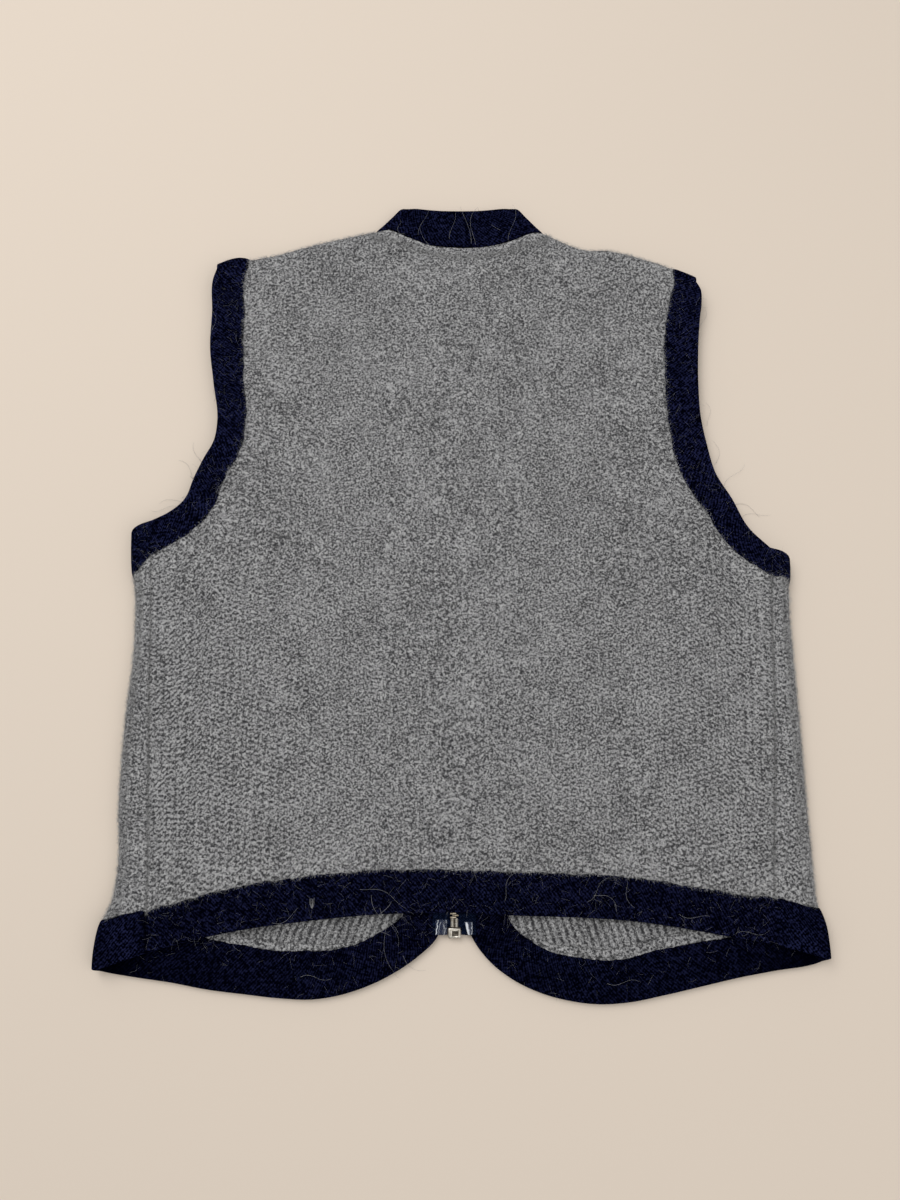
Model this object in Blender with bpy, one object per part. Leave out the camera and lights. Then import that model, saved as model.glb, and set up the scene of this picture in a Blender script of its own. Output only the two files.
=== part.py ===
# A wool vest laid flat with its back up: grey felted cloth, navy fold-over bindings and a metal zip.
# Lengths are millimetres until they reach a mesh. +X is the wearer's right, +Y the neck and +Z up.
# The cloth is a flattened tube: the fronts lie on the floor, turn up round the side folds and meet the
# back at the side seams, and the back rolls over both shoulders to the fronts' top edges.

import math

import bpy
import bmesh
import numpy as np

MM = 0.001
CENTRING = (-0.54, 0.22, 0.0)      # puts the middle of the whole outline on the origin

# Cloth, bindings and gaps
WALL = 2.6             # felted wool
BAND = 0.9             # one leg of the folded binding
BAND_WIDTH = 28.0      # width of the hem and zip bindings on either face
ARMHOLE_BAND = 25.5    # width of the armhole bindings where they are straight
GAP = 0.3              # between neighbouring pieces
COLLAR_WALL = 2.4      # the collar's doubled band
COLLAR_SEAT = 1.0      # from the neck edge of the cloth to the collar's lower edge
INSIDE = WALL / 2 + GAP               # from the middle of the cloth to the inside of a binding's leg
BOUND = INSIDE + BAND                 # from the middle of the cloth to the outside of the leg
NOSE = GAP + BAND                     # from the cloth's cut edge to the binding's fold
EDGE_COLUMNS = (NOSE, 14.0, BAND_WIDTH)              # across the hem and zip edges
ARMHOLE_COLUMNS = (NOSE, 9.0, 17.0, ARMHOLE_BAND)    # across the armhole edges

# Main places
ZIP_X = -4.5           # the zip lies a little to the wearer's left of the middle
HEM_MIDDLE = -238.5    # back hem at the centre back
WAIST_LINE = 44.0      # mesh row at the centre, level with the armholes' lowest points
NECK_BACK = 266.0      # collar seam at the centre back
NECK_FRONT = 190.0     # collar seam at the zip
NECK_HALF = 65.0       # half the neck width at the shoulder
COLLAR_TOP_BACK = 296.0
COLLAR_TOP_FRONT = 219.0
COLLAR_HALF = 47.0     # half the collar's width along its top edge

# Heights of the middle of the back's cloth over the floor
REST = 4.7             # where it lies on plain fronts
OVER_BAND = 7.0        # plain cloth over a bound edge
OVER_ZIP = 8.1         # plain cloth over the zip tapes
HEM_LIFT = 1.2         # extra height of a bound hem
SLIDER_LIFT = 1.6      # extra height over the zip's slider

# Where each rise is whole and where it has faded out
SPREADS = {
    "front_edge": (30.0, 48.0),        # from a front's bound edge
    "zip": (14.0, 62.0),               # from the zip's middle
    "zip_top": (222.0, 264.0),         # height up the garment
    "slider": (9.0, 40.0),             # from the slider
    "armhole": (44.0, 86.0),           # from the back's armhole edge
    "hem": (30.0, 50.0),               # from the back's hem
    "corner": (30.0, 60.0),            # from the back's hem, near the sides
    "corner_start": (112.0, 150.0),    # from the middle of the back
    "side": (0.0, 52.0),               # from the side fold
    "side_top": (90.0, 130.0),         # height up the garment
    "shoulder": (0.0, 46.0),           # from the shoulder fold
}

# Zip: half widths are measured from its middle
CHAIN_HALF = 2.95
CHAIN_THICK = 2.4
CHAIN_LOW = 3.2        # height of the chain's middle along the garment
CHAIN_HIGH = 5.0       # the same at the slider, which lifts it
CHAIN_RAMP = (150.0, 196.0)
CHAIN_ENDS = (-243.5, 210.2)
TAPE_HALF = 15.0
TAPE_THICK = 0.8
TAPE_ENDS = (-254.5, 219.0)
TAPE_SEATED = 7.5      # from here outwards the tape lies on the bound edge
ZIP_EDGE = 6.5         # the bindings' folds beside the zip
TAPE_HEIGHT = 2 * BOUND + GAP + TAPE_THICK / 2
BOX_SIZE = (8.8, 7.0, 4.0)
BOX_TOP = -250.0
PIN_RADIUS = 1.2
PIN_ENDS = (-249.6, -243.8)
FILM_THICK = 0.25
FILM_EDGES = (4.9, 13.0)
FILM_ENDS = (-254.3, -244.2)
SLIDER_ENDS = (203.5, 213.5)
SLIDER_PLATE = 1.0
STOP_ENDS = (214.2, 217.2)
SLIDER_MIDDLE = 209.0
PULL_AXIS = (206.2, 1.7)     # Y and Z of the pull tab's hinge
PULL_BAR = 1.0               # thickness of the tab and of its bar
PULL_END = 180.0
BRIDGE_ENDS = (204.5, 211.4)
BRIDGE_LOW = 0.2
BRIDGE_HALF = 1.1
BRIDGE_THICK = 0.7
BRIDGE_ROUND = 0.5

# The flat chart of a front: across, 0 at the middle, the side fold's turn, then back along the top
FLAT = 240.0
TURN = 12.0

# Side folds: height up the garment, reach of the middle of the cloth on each side, radius of the turn
SIDE_FOLDS = (
    ("y", "left", "right", "radius"),
    (-290, 250.0, 250.5, 4.4),
    (-262, 249.5, 251.0, 4.4),
    (-247, 247.0, 249.5, 4.4),
    (-235, 241.0, 244.5, 3.8),
    (-217, 237.7, 243.5, 3.3),
    (-165, 239.2, 241.7, 3.3),
    (-110, 238.7, 241.2, 3.3),
    (-55, 236.2, 239.7, 3.3),
    (-20, 238.2, 237.8, 3.5),
    (10, 241.0, 240.5, 3.9),
    (40, 242.5, 241.5, 3.9),
    (300, 242.5, 241.5, 3.9),
)

# Side seams, which lie on the back inside the folds
SIDE_SEAMS = (
    ("y", "left", "right"),
    (-290, 214.0, 213.0),
    (-220, 218.0, 218.0),
    (-90, 225.0, 227.0),
    (60, 231.0, 231.0),
)

# Shoulder folds: distance from the middle, height of the fold on each side, radius of the turn
SHOULDERS = (
    ("x", "left", "right", "radius"),
    (40, 288.0, 289.0, 3.3),
    (65, 281.5, 280.5, 3.3),
    (85, 277.0, 270.5, 3.3),
    (100, 273.5, 265.0, 3.3),
    (117, 269.0, 264.5, 3.3),
    (135, 263.5, 260.5, 3.4),
    (155, 257.5, 253.0, 3.8),
    (172, 253.0, 245.5, 3.9),
    (200, 247.0, 233.0, 3.9),
)

# Back hem: distance from the middle, height of the binding's fold on each side
BACK_HEM = (
    ("x", "left", "right"),
    (0, HEM_MIDDLE, HEM_MIDDLE),
    (40, -238.3, -240.3),
    (75, -240.2, -241.3),
    (110, -244.0, -243.3),
    (148, -249.0, -248.0),
    (185, -258.0, -254.5),
    (222, -268.0, -261.0),
)

# Front edge: distance from the zip, height of the binding's fold on each side, down to the side fold
FRONT_EDGE = (
    ("from_zip", "left", "right"),
    (ZIP_EDGE, -215, -215),
    (7.0, -240, -240),
    (12.5, -257.5, -257),
    (23, -267.5, -271),
    (40, -279, -284),
    (60, -288.5, -293),
    (80, -294.5, -298),
    (98, -297, -300),
    (118, -296.3, -299),
    (145, -293.5, -294),
    (170, -290.5, -288.5),
    (195, -286, -283),
    (220, -282.5, -278.5),
)

# The same edge round the side fold, by place on the chart
FOLD_EDGE = (
    ("chart", "left", "right"),
    (FLAT, -279, -273),
    (FLAT + TURN / 2, -277.5, -270.5),
    (FLAT + TURN, -275.5, -268.5),
)

# Back armholes: distance from the middle and height on each side, from the side seam to the shoulder
BACK_ARMHOLE = (
    ("left_x", "left_y", "right_x", "right_y"),
    (219, 47, 216, 35),
    (208, 57, 203, 59),
    (200, 76, 194, 78),
    (193, 91, 188.5, 101),
    (187, 104, 185, 124),
    (185.5, 119, 184.5, 148),
    (190, 152, 186, 180),
    (193, 180, 189.5, 214),
    (194, 212, 190, 226),
)

# Width of the armhole bindings along the back, by share of the way from the side seam to the shoulder
ARMHOLE_BANDS = (
    ("share", "left", "right"),
    (0, 23.5, 19.0),
    (0.25, 24.0, 20.5),
    (0.45, ARMHOLE_BAND, 24.5),
    (1, ARMHOLE_BAND, ARMHOLE_BAND),
)
BAND_AT_FOLD = {"left": 30.0, "right": 21.0}         # width down the side folds, which they cross at a slant

# Front armholes, cut deeper and hidden under the back, by place on the chart
FRONT_ARMHOLE = (
    ("left_x", "left_y", "right_x", "right_y"),
    (FLAT + TURN, 37, FLAT + TURN, 17),
    (FLAT + TURN / 2, 32, FLAT + TURN / 2, 12),
    (FLAT, 30, FLAT, 11),
    (222, 36, 222, 22),
    (205, 50, 204, 40),
    (190, 70, 190, 66),
    (179, 96, 178, 98),
    (173, 128, 172, 132),
    (175, 170, 172, 168),
    (182, 212, 178, 206),
)
SEAM_AT_ARMHOLE = {"left": 41.0, "right": 20.0}      # height where the side seam meets the armhole
SHOULDER_TIP = {"left": 193.0, "right": 190.0}       # armhole edge at the shoulder fold

# The back's neck edge: distance from the middle, height over its lowest point
BACK_NECK = (
    ("x", "rise"),
    (0, 0.0),
    (23, 1.5),
    (44, 6.0),
    (56.5, 11.5),
)
NECK_CURVE = (2.5, 0.55)     # just before the shoulder: distance inside it, share of the fold's turn

# A front's neck edge: share of the way from the zip to the shoulder, height over the zip's end
FRONT_NECK = (
    ("share", "rise"),
    (0.52, 15.0),
    (0.84, 40.0),
    (0.97, 62.0),
)

# The collar's top edge along a front, from the fold to the zip
COLLAR_EDGE = (
    ("x", "y"),
    (COLLAR_HALF - 4.1, COLLAR_TOP_BACK + 1.0),
    (41.0, 278.0),
    (35.0, 256.0),
    (27.0, 239.0),
    (12.2, 226.0),
    (3.2, COLLAR_TOP_FRONT),
)
COLLAR_TURN = 3.1            # radius of the fold at the collar's ends
COLLAR_SINK = 0.6            # how far the collar's top edge settles below the back's cloth
COLLAR_SETTLE = 34.0         # length over which it does
COLLAR_ARCH = 3.0            # rise of the collar's top edge from the middle to the fold
COLLAR_FOLD_DROP = 1.2       # and its drop round the fold

# Outlines of small metal pieces, as half widths by distance along them
SLIDER_OUTLINE = (
    ("half", "along"),
    (3.2, 0.0),
    (4.2, 5.0),
    (4.2, 9.0),
    (3.0, 10.0),
)
POST_OUTLINE = (
    ("half", "along"),
    (0.4, 7.1),
    (1.2, 8.2),
    (1.2, 9.0),
    (0.8, 9.6),
)
PULL_RIM = (
    ("half", "along"),
    (3.3, PULL_BAR / 2),
    (3.3, -3.4),
    (4.2, PULL_END - PULL_AXIS[0]),
)
PULL_HOLE = (
    ("half", "along"),
    (1.5, -PULL_BAR / 2),
    (1.5, -3.4),
    (1.5, -6.2),
)
STOP_ACROSS = (0.5, 2.9)
PIN_OFFSET = 1.55
BOX_ROUND = 0.5
BOX_RIM = 1.3
BOX_RECESS = 0.8
CHAIN_FLAT = 0.7             # share of the chain's width that is flat

# Mesh rows and columns
ROWS_LOW = 10
ROWS_HIGH = 9
FOLD_STEPS = 4
NECK_STEPS = 5
FRONT_COLUMNS = 9
ARMHOLE_CORNER = 38.0        # along the back armhole, from the side seam to the waist row
FRONT_CORNER = 44.0          # the same along the front armhole, from the side fold
HEM_CORNER = 0.84            # share of the back hem before the columns that turn into the armhole
FRONT_WAIST = 28.0           # the waist row at a front's zip edge
FRONT_HEM_CORNER = -262.0    # where the zip edge turns into the hem
NECK_SLOPE = 0.24            # slope of a front's neck edge at the zip
CORNER_COLUMNS = 2           # columns that turn from the waist row into the armhole
SHARP = math.radians(35)

SIDES = (("left", -1.0), ("right", 1.0))

WOOL = ("grey_wool", (0.178, 0.178, 0.182), 0.95, 0.0)
NAVY = ("navy_binding", (0.012, 0.014, 0.030), 0.9, 0.0)
TAPE = ("zip_tape", (0.014, 0.018, 0.034), 0.85, 0.0)
BRASS = ("brass", (0.55, 0.42, 0.22), 0.4, 1.0)
NICKEL = ("nickel", (0.62, 0.60, 0.57), 0.3, 1.0)
FILM = ("clear_film", (0.75, 0.80, 0.85), 0.15, 0.0)


# Tables, curves and distances

def column(table, name, at):
    """Value of a named column at a place in the first column, on a smooth curve through the rows."""
    names = table[0]
    rows = np.array(table[1:], dtype=float)
    return smooth_value(rows[:, 0], rows[:, names.index(name)], at)


def smooth_value(xs, values, at):
    slopes = np.gradient(values, xs)
    at = np.clip(at, xs[0], xs[-1])
    i = np.clip(np.searchsorted(xs, at) - 1, 0, len(xs) - 2)
    span = xs[i + 1] - xs[i]
    t = (at - xs[i]) / span
    rise = values[i + 1] - values[i]
    bend = (slopes[i] * span - rise) * (1 - t) + (rise - slopes[i + 1] * span) * t
    return values[i] + rise * t + t * (1 - t) * bend


def smooth_path(knots, spacing=2.5):
    """Closely spaced points on a smooth curve through the knots, with the length at each."""
    knots = np.array(knots, dtype=float)
    steps = np.linalg.norm(np.diff(knots, axis=0), axis=1)
    places = np.concatenate(([0.0], np.cumsum(steps)))
    dense = [np.linspace(a, b, max(2, round((b - a) / spacing) + 1))[:-1] for a, b in zip(places, places[1:])]
    dense = np.concatenate(dense + [[places[-1]]])
    points = np.column_stack([smooth_value(places, knots[:, k], dense) for k in range(2)])
    lengths = np.concatenate(([0.0], np.cumsum(np.linalg.norm(np.diff(points, axis=0), axis=1))))
    return points, lengths


def at_length(path, length):
    points, lengths = path
    return np.array([np.interp(length, lengths, points[:, k]) for k in range(2)])


def length_where(path, axis, value):
    """Length along the path where it first crosses a value of its across (0) or up (1) coordinate."""
    points, lengths = path
    offset = points[:, axis] - value
    for i in range(len(offset) - 1):
        if offset[i] * offset[i + 1] <= 0 and offset[i] != offset[i + 1]:
            share = offset[i] / (offset[i] - offset[i + 1])
            return lengths[i] + share * (lengths[i + 1] - lengths[i])
    raise ValueError("the path doesn't reach that value")


def spread(cuts, counts):
    """Lengths from cut to cut, each stretch divided evenly into its own count of steps."""
    stretches = [np.linspace(a, b, n + 1)[:-1] for a, b, n in zip(cuts, cuts[1:], counts)]
    return np.concatenate(stretches + [[cuts[-1]]])


def distance_to(path, point):
    return float(np.sqrt(((path[0] - point) ** 2).sum(axis=1).min()))


def unit(vector):
    return vector / np.linalg.norm(vector)


def falloff(distance, flat, reach):
    """1 up to flat, then down to 0 at reach along half a cosine wave."""
    share = min(max((distance - flat) / (reach - flat), 0.0), 1.0)
    return 0.5 + 0.5 * math.cos(math.pi * share)


def edge_strip(path, lengths, widths, first=None, last=None):
    """Chart points across a bound edge: a row for each length, with its own widths inwards.

    The cloth lies on the left of the path. first and last turn the end rows along a seam, and the row
    beside each end halfway.
    """
    step = 3.0
    rows = []
    for i, length in enumerate(lengths):
        ahead = at_length(path, length + step)
        behind = at_length(path, length - step)
        along = unit(ahead - behind)
        inward = np.array([-along[1], along[0]])
        for end, near in ((first, i), (last, len(lengths) - 1 - i)):
            if end is not None and near < 2:
                inward = unit(inward * (0.0, 0.5)[near] + unit(np.array(end)) * (1.0, 0.5)[near])
        base = at_length(path, length)
        rows.append([base + inward * width for width in widths[i]])
    return np.array(rows)


def armhole_widths(band):
    """The armhole columns, scaled to a binding of another width."""
    scale = (band - NOSE) / (ARMHOLE_BAND - NOSE)
    return [NOSE + (width - NOSE) * scale for width in ARMHOLE_COLUMNS]


def patch(bottom, top, inner, outer):
    """Grid of points that fills four edges which share their corners, rows from bottom to top."""
    across = np.linspace(0, 1, len(bottom))[None, :, None]
    up = np.linspace(0, 1, len(inner))[:, None, None]
    ruled_up = (1 - up) * bottom[None] + up * top[None]
    ruled_across = (1 - across) * inner[:, None] + across * outer[:, None]
    corners = ((1 - up) * ((1 - across) * bottom[0] + across * bottom[-1])
               + up * ((1 - across) * top[0] + across * top[-1]))
    return ruled_up + ruled_across - corners


def line(start, end, count):
    return np.linspace(start, end, count + 1)


# Shape of the garment

def fold_start(side, y):
    """Where the side fold's turn begins, from the middle, and the turn's radius."""
    radius = column(SIDE_FOLDS, "radius", y)
    return column(SIDE_FOLDS, side, y) - radius, radius


def shoulder(side, x):
    """Height where the shoulder fold's turn begins, and the turn's radius."""
    radius = column(SHOULDERS, "radius", x)
    return column(SHOULDERS, side, x) - radius, radius


def to_chart(side, x, y):
    return x * FLAT / fold_start(side, y)[0]


def seam_x(side, y):
    return column(SIDE_SEAMS, side, y)


def seam_chart(side, y):
    """The side seam's place on a front's chart, past the turn."""
    start = fold_start(side, y)[0]
    return FLAT + TURN + (start - seam_x(side, y) - GAP / 2) * FLAT / start


def front_edge_path(side):
    """Fold of the binding along a front: down the zip edge, round the corner, along the hem to the seam."""
    sign = dict(SIDES)[side]
    knots = [(sign * ZIP_X + ZIP_EDGE, y) for y in (NECK_FRONT, 55.0, -80.0)]
    for row in FRONT_EDGE[1:]:
        place = dict(zip(FRONT_EDGE[0], row))
        knots.append((to_chart(side, sign * ZIP_X + place["from_zip"], place[side]), place[side]))
    for row in FOLD_EDGE[1:]:
        place = dict(zip(FOLD_EDGE[0], row))
        knots.append((place["chart"], place[side]))
    seam_y = seam_at_hem(side)
    knots.append((seam_chart(side, seam_y), seam_y))
    return smooth_path(knots)


def seam_at_hem(side):
    """Height of the hem where the side seam reaches it."""
    y = -262.0
    for _ in range(4):
        y = float(column(BACK_HEM, side, seam_x(side, y)))
    return y


def back_hem_path(side):
    """The back hem's fold from the middle to the side seam."""
    seam_y = seam_at_hem(side)
    seam = float(seam_x(side, seam_y)) - GAP / 2
    return smooth_path([(x, column(BACK_HEM, side, x)) for x in np.linspace(0, seam, 10)])


def armhole_path(table, side, start, end):
    places = [dict(zip(table[0], row)) for row in table[1:]]
    middle = [(place[side + "_x"], place[side + "_y"]) for place in places]
    return smooth_path([start] + middle + [end])


def back_armhole_path(side):
    y = SEAM_AT_ARMHOLE[side]
    tip = SHOULDER_TIP[side]
    return armhole_path(BACK_ARMHOLE, side, (seam_x(side, y) - GAP / 2, y), (tip, shoulder(side, tip)[0]))


def front_armhole_path(side):
    y = SEAM_AT_ARMHOLE[side]
    tip = SHOULDER_TIP[side]
    top = shoulder(side, tip)[0] - GAP
    return armhole_path(FRONT_ARMHOLE, side, (seam_chart(side, y), y), (to_chart(side, tip, top), top))


PATHS = {side: {"front": front_edge_path(side), "hem": back_hem_path(side),
                "back_armhole": back_armhole_path(side), "front_armhole": front_armhole_path(side)}
         for side, _ in SIDES}


def low_height(side, across, y):
    """Height of the middle of a front's cloth over the floor: low on the floor, raised inside a binding."""
    place = np.array((across, y))
    nearest = min(distance_to(PATHS[side][name], place) for name in ("front", "front_armhole"))
    return WALL / 2 + (BOUND - WALL / 2) * falloff(nearest, *SPREADS["front_edge"])


def crest(side, y):
    """Height of the cloth where a side fold runs out onto the top."""
    return low_height(side, FLAT, y) + 2 * fold_start(side, y)[1]


def shoulder_crest(side, x):
    start, radius = shoulder(side, x)
    return low_height(side, to_chart(side, x, start), start) + 2 * radius


def high_height(x, y):
    """Height of the middle of the cloth on top: it settles onto the fronts between the folds."""
    side = "left" if x < 0 else "right"
    away = abs(x)
    place = np.array((away, y))
    from_zip = abs(x - ZIP_X)
    zip_rise = (OVER_ZIP - REST) * falloff(from_zip, *SPREADS["zip"]) * falloff(y, *SPREADS["zip_top"])
    slider_rise = SLIDER_LIFT * falloff(math.hypot(from_zip, y - SLIDER_MIDDLE), *SPREADS["slider"])
    armhole = distance_to(PATHS[side]["back_armhole"], place)
    armhole_rise = (OVER_BAND + HEM_LIFT - REST) * falloff(armhole, *SPREADS["armhole"])
    from_hem = distance_to(PATHS[side]["hem"], place)
    corner_rise = (OVER_BAND - REST) * falloff(from_hem, *SPREADS["corner"])
    corner_rise *= 1.0 - falloff(away, *SPREADS["corner_start"])
    blended = sum(rise ** 4 for rise in (zip_rise, armhole_rise, corner_rise)) ** 0.25
    settled = REST + blended + slider_rise + HEM_LIFT * falloff(from_hem, *SPREADS["hem"])
    start, _ = fold_start(side, y)
    side_share = falloff(start - away, *SPREADS["side"]) * falloff(y, *SPREADS["side_top"])
    outside_neck = max(away, NECK_HALF - 5.0)
    top, _ = shoulder(side, outside_neck)
    from_shoulder = math.hypot(max(top - y, 0.0), outside_neck - away)
    shoulder_share = falloff(from_shoulder, *SPREADS["shoulder"])
    height = settled + (crest(side, y) - settled) * side_share
    return height + (shoulder_crest(side, outside_neck) - height) * shoulder_share


def front_point(side, across, y):
    """Middle of a front's cloth at a place on its chart."""
    sign = dict(SIDES)[side]
    start, radius = fold_start(side, y)
    if across <= FLAT:
        return np.array((sign * across * start / FLAT, y, low_height(side, across, y)))
    if across <= FLAT + TURN:
        angle = math.pi * (across - FLAT) / TURN
        rise = radius * (1 - math.cos(angle))
        return np.array((sign * (start + radius * math.sin(angle)), y, low_height(side, FLAT, y) + rise))
    x = sign * (start - (across - FLAT - TURN) * start / FLAT)
    return np.array((x, y, high_height(x, y)))


def back_point(side, away, y):
    """Middle of the back's cloth, which rolls round the shoulder fold past the turn's start."""
    x = dict(SIDES)[side] * away
    start, radius = shoulder(side, away)
    if y <= start:
        return np.array((x, y, high_height(x, y)))
    angle = (y - start) / radius
    top = high_height(x, start)
    return np.array((x, start + radius * math.sin(angle), top - radius * (1 - math.cos(angle))))


def outward(point, side, across, y):
    """Unit normal of the cloth, out of the garment."""
    step = 0.4
    along_x = point(side, across + step, y) - point(side, across - step, y)
    along_y = point(side, across, y + step) - point(side, across, y - step)
    normal = unit(np.cross(along_x, along_y)) * dict(SIDES)[side]
    return normal if point is back_point else -normal


# Solids

def finish(name, mesh_data, material):
    """Make an object from a bmesh in millimetres, with its faces out and its own material."""
    bmesh.ops.recalc_face_normals(mesh_data, faces=mesh_data.faces)
    bmesh.ops.translate(mesh_data, vec=CENTRING, verts=mesh_data.verts)
    bmesh.ops.scale(mesh_data, vec=(MM, MM, MM), verts=mesh_data.verts)
    mesh = bpy.data.meshes.new(name)
    mesh_data.to_mesh(mesh)
    mesh_data.free()
    mesh.materials.append(make_material(name, material))
    mesh.shade_smooth()
    mesh.set_sharp_from_angle(angle=SHARP)
    piece = bpy.data.objects.new(name, mesh)
    bpy.context.scene.collection.objects.link(piece)
    return piece


def make_material(name, finish_row):
    slot, colour, roughness, metallic = finish_row
    material = bpy.data.materials.new(name + "_" + slot)
    material.use_nodes = True
    shader = material.node_tree.nodes["Principled BSDF"]
    shader.inputs["Base Color"].default_value = (*colour, 1.0)
    shader.inputs["Roughness"].default_value = roughness
    shader.inputs["Metallic"].default_value = metallic
    return material


def cloth_solid(name, grids, thickness, material):
    """A wall of even thickness on grids of (middle point, normal) pairs, welded where they meet."""
    data = bmesh.new()
    found = {}

    def corner(pair):
        key = tuple(round(float(value), 2) for value in pair[0])
        if key not in found:
            outer = data.verts.new(pair[0] + pair[1] * thickness / 2)
            inner = data.verts.new(pair[0] - pair[1] * thickness / 2)
            found[key] = (outer, inner)
        return found[key]

    sides_of = {}
    for grid in grids:
        for low, high in zip(grid, grid[1:]):
            for i in range(len(low) - 1):
                ring = [corner(pair) for pair in (low[i], low[i + 1], high[i + 1], high[i])]
                data.faces.new([pair[0] for pair in ring])
                data.faces.new([pair[1] for pair in reversed(ring)])
                for first, second in zip(ring, ring[1:] + ring[:1]):
                    sides_of.setdefault(frozenset((first, second)), []).append((first, second))
    for uses in sides_of.values():
        if len(uses) == 1:
            first, second = uses[0]
            data.faces.new((second[0], first[0], first[1], second[1]))
    return finish(name, data, material)


def loft_solid(name, sections, cap, material):
    """A solid through closed sections of equal point counts. cap lists the faces that close an end."""
    data = bmesh.new()
    rings = [[data.verts.new(point) for point in section] for section in sections]
    count = len(sections[0])
    for low, high in zip(rings, rings[1:]):
        for i in range(count):
            j = (i + 1) % count
            data.faces.new((low[i], low[j], high[j], high[i]))
    for indices in cap:
        data.faces.new([rings[0][i] for i in reversed(indices)])
        data.faces.new([rings[-1][i] for i in indices])
    return finish(name, data, material)


def band_section(pairs):
    """The folded binding across one station, from (middle point, normal) pairs, cut edge first."""
    edge, normal = pairs[0]
    out = unit(edge - pairs[1][0])
    inward = pairs[::-1]
    outer_top = [point + side * BOUND for point, side in inward]
    nose = [edge + out * NOSE * math.sin(angle) + normal * BOUND * math.cos(angle)
            for angle in (math.radians(50), math.radians(90), math.radians(130))]
    outer_bottom = [point - side * BOUND for point, side in pairs]
    inner_bottom = [point - side * INSIDE for point, side in inward]
    inner_top = [point + side * INSIDE for point, side in pairs]
    inner_bottom[-1] = inner_bottom[-1] + out * GAP
    inner_top[0] = inner_top[0] + out * GAP
    return outer_top + nose + outer_bottom + inner_bottom + inner_top


def band_cap(columns):
    """Faces that close a binding's end: its two legs and its fold."""
    n = columns
    top, bottom, inner_bottom, inner_top = 0, n + 3, 2 * n + 3, 3 * n + 3
    faces = []
    for i in range(n - 1):
        faces.append((top + i, top + i + 1, inner_top + n - 2 - i, inner_top + n - 1 - i))
        faces.append((bottom + i, bottom + i + 1, inner_bottom + n - 2 - i, inner_bottom + n - 1 - i))
    fold = [top + n - 1, n, n + 1, n + 2, bottom, inner_bottom + n - 1, inner_top]
    faces.append(tuple(fold))
    return faces


def binding(name, stations):
    return loft_solid(name, [band_section(pairs) for pairs in stations], band_cap(len(stations[0])), NAVY)


def place_grid(point, side, grid):
    """Chart points of a grid as rows of (middle point, normal) pairs."""
    return [[(point(side, *spot), outward(point, side, *spot)) for spot in row] for row in grid]


# The back

def shoulder_roll(side, row):
    """Rows that carry a row of chart points round the shoulder fold to its seam."""
    rows = []
    for step in range(FOLD_STEPS + 1):
        rows.append([(away, y + math.pi * shoulder(side, away)[1] * step / FOLD_STEPS) for away, y in row])
    return np.array(rows)


def back_half(side):
    """Charts of one half of the back: its grids, its hem strip, its armhole strip and its neck edge."""
    paths = PATHS[side]
    seam_end = paths["hem"][0][-1]
    hem_seam = unit(back_seam(side, seam_end[1] + BAND_WIDTH) - seam_end)
    hem_end = paths["hem"][1][-1]
    arm = paths["back_armhole"]
    arm_lengths = spread((0.0, ARMHOLE_CORNER, arm[1][-1]), (CORNER_COLUMNS, ROWS_HIGH))
    bands = [column(ARMHOLE_BANDS, side, length / arm[1][-1]) for length in arm_lengths]
    under = back_seam(side, SEAM_AT_ARMHOLE[side] - BAND_WIDTH) - arm[0][0]
    arm_strip = edge_strip(arm, arm_lengths, [armhole_widths(band) for band in bands],
                           first=under, last=along_shoulder(side))
    neck = neck_chart(side)
    inset = arm_strip[-1][-1]
    across_shoulder = [(x, shoulder(side, x)[0]) for x in np.linspace(NECK_HALF, inset[0], 5)[1:]]
    arm_strip[-1] = [(x, shoulder(side, x)[0]) for x, _ in arm_strip[-1]]
    top_row = np.array(list(neck) + across_shoulder)
    columns = len(top_row) - 1
    hem_lengths = spread((0.0, hem_end * HEM_CORNER, hem_end), (columns, CORNER_COLUMNS))
    widths = [EDGE_COLUMNS] * len(hem_lengths)
    hem_strip = edge_strip(paths["hem"], hem_lengths, widths, first=(0, 1), last=hem_seam)
    hem_row = hem_strip[:, -1]
    middle_row = line((0.0, WAIST_LINE), arm_strip[CORNER_COLUMNS][-1], columns)
    waist_row = np.concatenate((middle_row, arm_strip[CORNER_COLUMNS - 1::-1, -1]))
    seam_heights = np.linspace(hem_row[-1][1], waist_row[-1][1], ROWS_LOW + 1)
    seam = np.array([back_seam(side, y) for y in seam_heights])
    seam[0], seam[-1] = hem_row[-1], waist_row[-1]
    low = patch(hem_row, waist_row, line(hem_row[0], waist_row[0], ROWS_LOW), seam)
    centre_line = line(middle_row[0], top_row[0], ROWS_HIGH)
    high = patch(middle_row, top_row, centre_line, arm_strip[CORNER_COLUMNS:, -1])
    rolled = shoulder_roll(side, top_row)
    rolled_arm = shoulder_roll(side, arm_strip[-1])
    arm_full = np.concatenate((arm_strip, rolled_arm[1:]))
    return {"grids": [low, high, rolled, hem_strip, arm_full], "hem": hem_strip, "arm": arm_full,
            "neck": rolled[-1][:len(neck)]}


def along_shoulder(side):
    """Direction of the shoulder fold at its tip, towards the neck."""
    tip = SHOULDER_TIP[side]
    run = 25.0
    return (-run, shoulder(side, tip - run)[0] - shoulder(side, tip)[0])


def back_seam(side, y):
    return np.array((float(seam_x(side, y)) - GAP / 2, y))


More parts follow.
